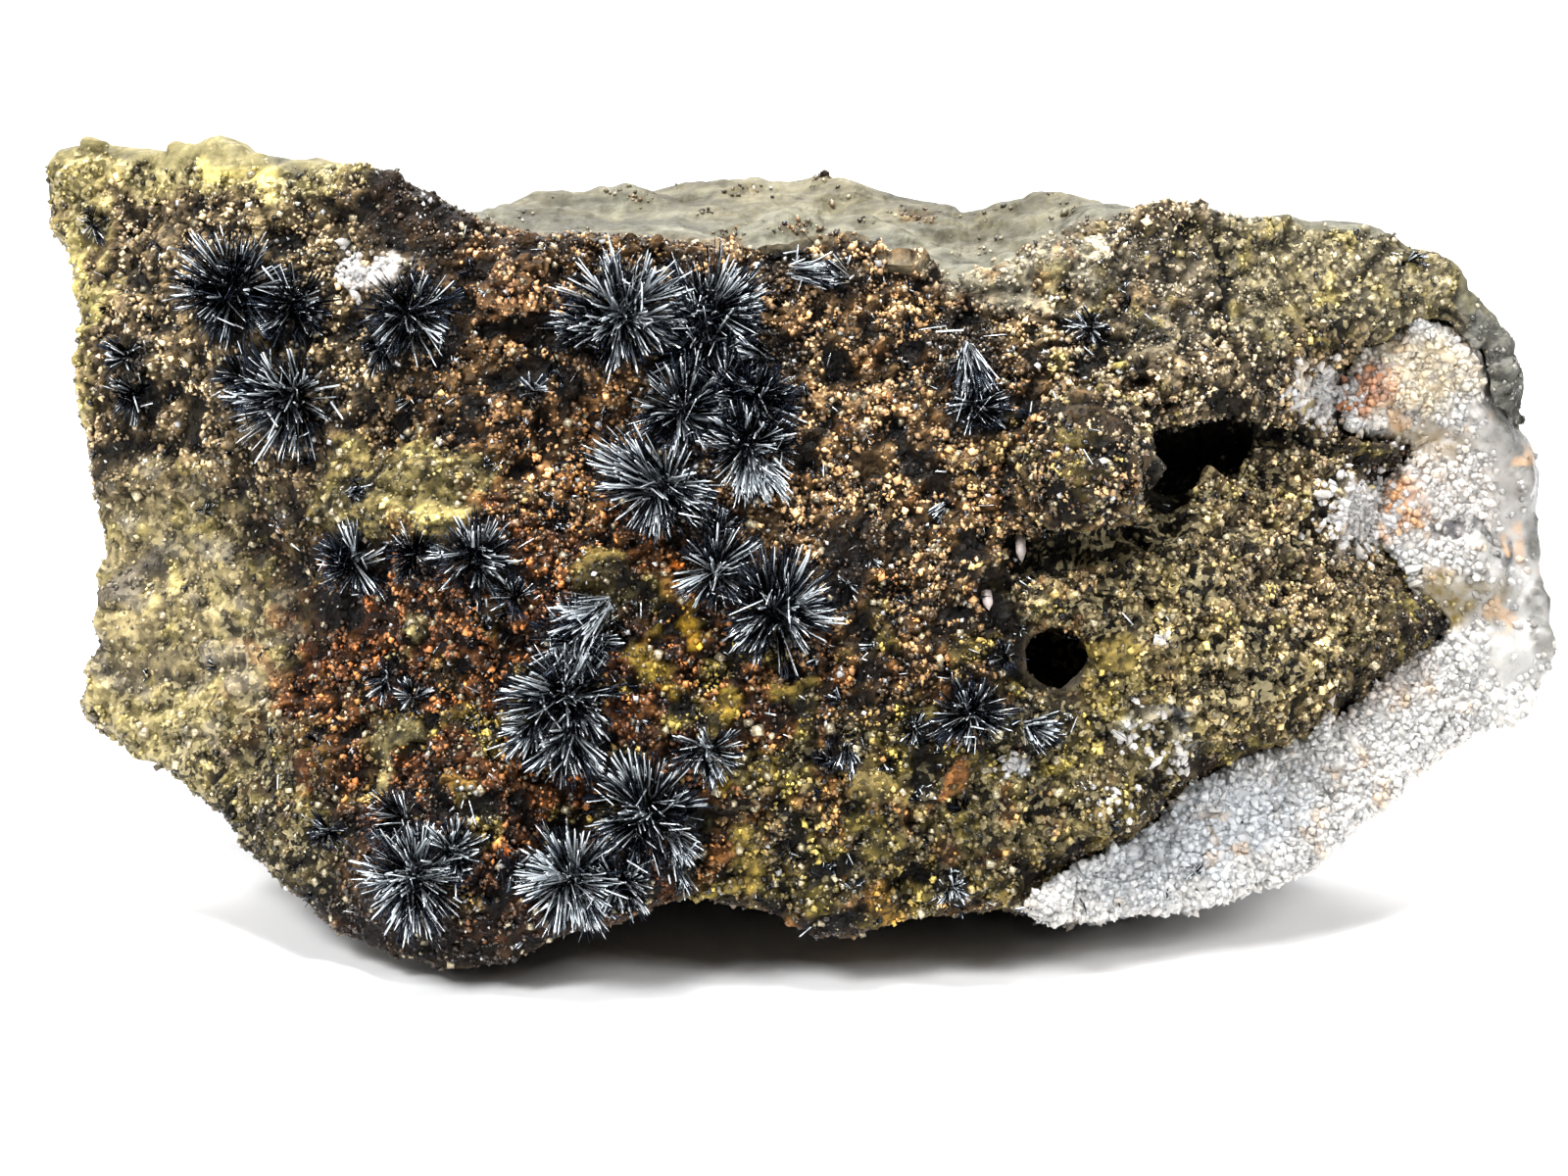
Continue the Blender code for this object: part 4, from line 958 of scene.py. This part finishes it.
def spray(centre, axis, radius, half_angle, bright, count, chance):
    """Feet, axes, rolls, sizes and tints of needles that fan out in sheaves from a centre around an axis."""
    sheaves = max(3, count // 9)
    member = chance.integers(0, sheaves, count)
    rise = chance.uniform(math.cos(math.radians(half_angle)), 1.0, sheaves)
    round_about = chance.uniform(0.0, 2 * math.pi, sheaves)
    flat = np.sqrt(1.0 - rise ** 2)
    local = np.column_stack([flat * np.cos(round_about), flat * np.sin(round_about), rise])
    directions = (local @ turned_to(axis[None], chance)[0].T)[member] + chance.normal(0.0, 0.13, (count, 3))
    stray = chance.uniform(size=count) < 0.10
    directions[stray] = axis * 0.5 + chance.normal(0.0, 0.7, (stray.sum(), 3))
    directions /= np.linalg.norm(directions, axis=1)[:, None]
    start = chance.uniform(0.0, 0.3, count)
    reach = 1.06 * radius * chance.uniform(0.8, 1.08, sheaves)[member] * chance.uniform(0.82, 1.05, count)
    reach *= 1.0 - 0.15 * np.clip(directions @ -LEAN[:, 1], 0.0, 1.0) ** 2
    foot = centre + directions * (start * radius * MM)[:, None]
    foot += (chance.normal(0.0, 0.07, (sheaves, 3))[member] + chance.normal(0.0, 0.03, (count, 3))) * radius * MM
    foot[stray] += (axis * 0.3 + chance.normal(0.0, 0.25, (stray.sum(), 3))) * radius * MM
    reach[stray] *= 0.6
    # How light each needle is painted, the lighter ones wider: painted light and painted shade
    silver = (0.3 * chance.uniform(size=sheaves)[member] + 0.7 * chance.uniform(size=count)) ** (3.4 - 1.9 * bright)
    width = chance.uniform(*NEEDLE_HALF_WIDTH, count) * (0.65 + 0.08 * radius) * (1.0 + 0.7 * silver)
    size = np.column_stack([width, width * 0.55, reach - start * radius]) * MM
    roll = chance.uniform(0.0, 2 * math.pi, sheaves)[member] + chance.normal(0.0, 0.8, count)
    tint = np.array(NEEDLE_SHADED_TINT) + (np.array(NEEDLE_LIT_SILVER) - NEEDLE_SHADED_TINT) * ramp(silver, 0.34, 0.6)[:, None]
    return foot, directions, roll, size, tint


def make_needles(name, sprays, finish, chance, nodes=()):
    foot, axes, roll, sizes, tints = (np.concatenate(part) for part in zip(*sprays))
    piece = joined_copies(name, needle_shape(), foot, turned_to(axes, chance, roll), sizes, tints)
    piece.data.materials.append(finish)
    finished(piece, nodes)


def make_sprays(tree):
    """The needle sprays, each standing for the spiny solids of its place, and the small tufts between them."""
    solids = surface_tree([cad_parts["matrix"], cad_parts["quartz"]])
    chance = np.random.default_rng(21)
    finish = needle_finish()
    for name, balls in SPRAYS.items():
        sprays = []
        for across, up, radius, tilt_across, tilt_up, half_angle, bright in balls:
            fan = half_angle < 50
            start = Vector(in_world(np.array((across, -60.0, up))))
            hit, normal, _, _ = (tree if fan else solids).ray_cast(start, SIGHT)
            axis = np.array(normal) * (0.4 if fan else 1.0) + LEAN @ np.array((tilt_across, -1.0, tilt_up))
            axis /= np.linalg.norm(axis)
            centre = np.array(hit) - np.array(SIGHT) * (0.3 if fan else 0.22) * radius * MM
            count = int(NEEDLES_PER_MM2 * 4 * radius ** 2 * (half_angle / 100) + 40)
            sprays.append(spray(centre, axis, radius, half_angle, bright, count, chance))
        nodes = [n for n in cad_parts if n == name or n.startswith(name + "_") and n[-1].isdigit()]
        make_needles("needles_" + name.removeprefix("stibnite_"), sprays, finish, chance, nodes)

    sprays = []
    for x, y, radius, bright in TUFTS:
        centre, normal = seen_on(tree, x, y)
        sprays.append(spray(centre, normal, radius, 80, bright, int(30 * radius), chance))
    across = chance.uniform(-50.0, 26.0, LOOSE_TUFTS)
    up = chance.uniform(-26.0, 26.0, LOOSE_TUFTS)
    for x, y in zip(across, up):
        centre, normal = seen_on(tree, x, y)
        place = in_face_frame(centre[None])
        _, _, cover, _ = painted(place, (normal @ LEAN)[None])
        if normal @ LEAN[:, 1] > -0.3 or cover[0] < 0.5:
            continue
        radius = chance.uniform(0.4, 1.0)
        sprays.append(spray(centre, normal, radius, 85, chance.uniform(0.0, 0.8), int(26 * radius), chance))
    for x, y in zip(chance.uniform(-50.0, 30.0, LOOSE_NEEDLES), chance.uniform(-26.0, 26.0, LOOSE_NEEDLES)):
        centre, normal = seen_on(tree, x, y)
        _, _, cover, _ = painted(in_face_frame(centre[None]), (normal @ LEAN)[None])
        if normal @ LEAN[:, 1] > -0.3 or cover[0] < 0.4:
            continue
        across_surface = np.cross(normal, chance.normal(size=3))
        axis = across_surface / np.linalg.norm(across_surface) + 0.35 * normal
        sprays.append(spray(centre + normal * 0.1 * MM, axis / np.linalg.norm(axis), chance.uniform(0.5, 1.7), 6,
                            chance.uniform(0.2, 1.0), 1, chance))
    make_needles("needles_loose", sprays, finish, chance)


# Finishes
def rock_finish():
    """Sulphide rock: its painted patches, broken up by grain, with glinting metallic facets."""
    finish = Finish("sulphide_rock", Specular_IOR_Level=0.12)
    paint = finish.attribute("paint")
    metal = finish.attribute("metal", "Fac")
    grain = finish.noise(0.7, 4.0, 0.7)
    speckle = finish.cells(0.42, "Color")
    tone = finish.make("ShaderNodeSeparateColor", {}, {"Color": speckle})
    rough = finish.attribute("rough", "Fac")
    shade = finish.mix(rough * 0.8 + 0.2, paint, finish.make(
        "ShaderNodeValToRGB", {"stops": [(0.25, (0.35, 0.33, 0.3)), (0.5, (1.0, 1.0, 1.0)), (0.75, (1.5, 1.45, 1.3))]},
        {"Fac": grain * 0.5 + tone * 0.5}), "MULTIPLY")
    glint = finish.spread(tone * metal, 0.2, 0.3) * (rough * 0.7 + 0.3)
    gold = finish.mix(glint * 0.6, shade, (0.46, 0.39, 0.22, 1.0))
    facets = finish.cells(0.5)
    height = facets * 0.6 + finish.noise(0.25, 3.0) * 0.6
    finish.set(Base_Color=gold, Metallic=glint * 0.6, Roughness=finish.spread(grain, 0.2, 0.8) * 0.35 + 0.32,
               Normal=finish.bump(height * (rough * 0.6 + 0.4), 0.22))
    return finish.material


def grain_finish(name, metallic, roughness):
    """The crust's grains, each with its own tint."""
    finish = Finish(name, Metallic=metallic, Specular_IOR_Level=0.6)
    tint = finish.attribute("tint")
    fine = finish.noise(0.12, 2.0)
    finish.set(Base_Color=finish.mix(finish.spread(fine, 0.3, 0.7) * 0.4, tint, (0.02, 0.012, 0.006, 1.0)),
               Roughness=finish.spread(fine, 0.2, 0.8) * 0.25 + (roughness - 0.1))
    return finish.material


def quartz_finish(attribute="paint"):
    """Milky quartz: light goes a little way in, and the faces are glassy."""
    finish = Finish("quartz_" + attribute, Subsurface_Weight=0.75, Subsurface_Scale=0.0015,
                    Subsurface_Radius=(1.0, 0.9, 0.8), IOR=1.54)
    paint = finish.attribute(attribute)
    cloud = finish.noise(0.9, 3.0)
    fine = finish.cells(0.55)
    finish.set(Base_Color=finish.mix(finish.spread(cloud, 0.35, 0.7) * 0.35, paint, opaque("#9d9a98")),
               Roughness=finish.spread(cloud, 0.3, 0.7) * 0.25 + 0.18,
               Normal=finish.bump(fine * 0.6 + cloud, 0.05))
    return finish.material


def needle_finish():
    """Stibnite: metal with long faces, each needle tinted from near black to silver as painted shade and painted
    light.
    """
    finish = Finish("stibnite_needle", Metallic=1.0)
    tint = finish.attribute("tint")
    fine = finish.noise(0.3, 2.0)
    finish.set(Base_Color=finish.mix(finish.spread(fine, 0.35, 0.75) * 0.3, tint, (0.03, 0.035, 0.05, 1.0)),
               Metallic=1.0 - finish.attribute("tint", "Fac") * 0.4,
               Roughness=finish.spread(fine, 0.2, 0.8) * 0.16 + 0.14)
    return finish.material


def studio_finish():
    finish = Finish("studio_white", Roughness=0.6)
    soft = finish.noise(60.0, 2.0)
    finish.set(Base_Color=finish.mix(soft * 0.3, opaque("#e9e9ea"), opaque("#e2e3e5")))
    return finish.material


# The studio
def make_studio():
    """A pale floor that curves up into the backdrop."""
    bm = bmesh.new()
    ends = [bm.verts.new((side, -0.9, 0.0)) for side in (-1.1, 1.1)]
    edge = bm.edges.new(ends)
    floor = bmesh.ops.extrude_edge_only(bm, edges=[edge])["geom"]
    bmesh.ops.translate(bm, vec=(0.0, 1.3, 0.0), verts=[v for v in floor if isinstance(v, bmesh.types.BMVert)])
    edge = [e for e in floor if isinstance(e, bmesh.types.BMEdge) and all(v.co.y > 0.3 for v in e.verts)]
    bend = bmesh.ops.spin(bm, geom=edge, cent=(0.0, 0.4, 0.3), axis=(1.0, 0.0, 0.0), angle=math.radians(90), steps=16)
    edge = [e for e in bend["geom_last"] if isinstance(e, bmesh.types.BMEdge)]
    wall = bmesh.ops.extrude_edge_only(bm, edges=edge)["geom"]
    bmesh.ops.translate(bm, vec=(0.0, 0.0, 0.9), verts=[v for v in wall if isinstance(v, bmesh.types.BMVert)])
    bmesh.ops.recalc_face_normals(bm, faces=bm.faces)
    mesh = bpy.data.meshes.new("studio_sweep")
    bm.to_mesh(mesh)
    bm.free()
    mesh.polygons.foreach_set("use_smooth", [True] * len(mesh.polygons))
    mesh.materials.append(studio_finish())
    link("studio_sweep", mesh)


LIGHTS = {
    # name: (place, size, watts)
    "top_softbox": ((-0.05, -0.08, 0.50), (0.20, 0.10), 5.4),
    "back_softbox": ((0.0, 0.46, 0.48), (0.60, 0.24), 3.8),
    "front_left": ((-0.28, -0.36, 0.44), (0.18, 0.16), 3.9),
    "front_right": ((0.32, -0.34, 0.38), (0.18, 0.18), 1.6),
    "left_strip": ((-0.34, -0.05, 0.20), (0.03, 0.30), 0.5),
    "right_strip": ((0.36, -0.08, 0.22), (0.03, 0.30), 0.4),
}


def make_lights():
    target = Vector((0.0, 0.0, 0.03))
    for name, (place, (width, height), watts) in LIGHTS.items():
        light = bpy.data.lights.new(name, "AREA")
        light.shape = "RECTANGLE"
        light.size = width
        light.size_y = height
        light.energy = watts
        holder = bpy.data.objects.new(name, light)
        holder.location = place
        holder.rotation_euler = (target - Vector(place)).to_track_quat("-Z", "Y").to_euler()
        bpy.context.scene.collection.objects.link(holder)
    world = bpy.data.worlds.new("studio_air")
    world.use_nodes = True
    background = world.node_tree.nodes["Background"]
    background.inputs["Color"].default_value = (0.93, 0.96, 1.0, 1.0)
    background.inputs["Strength"].default_value = 0.06
    bpy.context.scene.world = world


def make_camera():
    """The camera looks square at the leaning face, from above the floor by the same angle."""
    lens = bpy.data.cameras.new("camera")
    lens.sensor_width = 36.0
    lens.lens = VIEW_LENS
    lens.clip_start = 0.01
    holder = bpy.data.objects.new("camera", lens)
    sight = Vector(LEAN @ np.array((0.0, 1.0, 0.0)))
    holder.location = Vector(ORIGIN) - sight * VIEW_DISTANCE * MM
    holder.rotation_euler = sight.to_track_quat("-Z", "Y").to_euler()
    bpy.context.scene.collection.objects.link(holder)
    bpy.context.scene.camera = holder
    bpy.context.scene.view_settings.view_transform = "Standard"


make_camera()
make_studio()
make_lights()
block = make_block()
vein = make_vein()
tree = surface_tree([block, vein])
make_grains(block)
make_quartz_sugar(vein, tree)
make_prisms(tree)
make_sprays(tree)
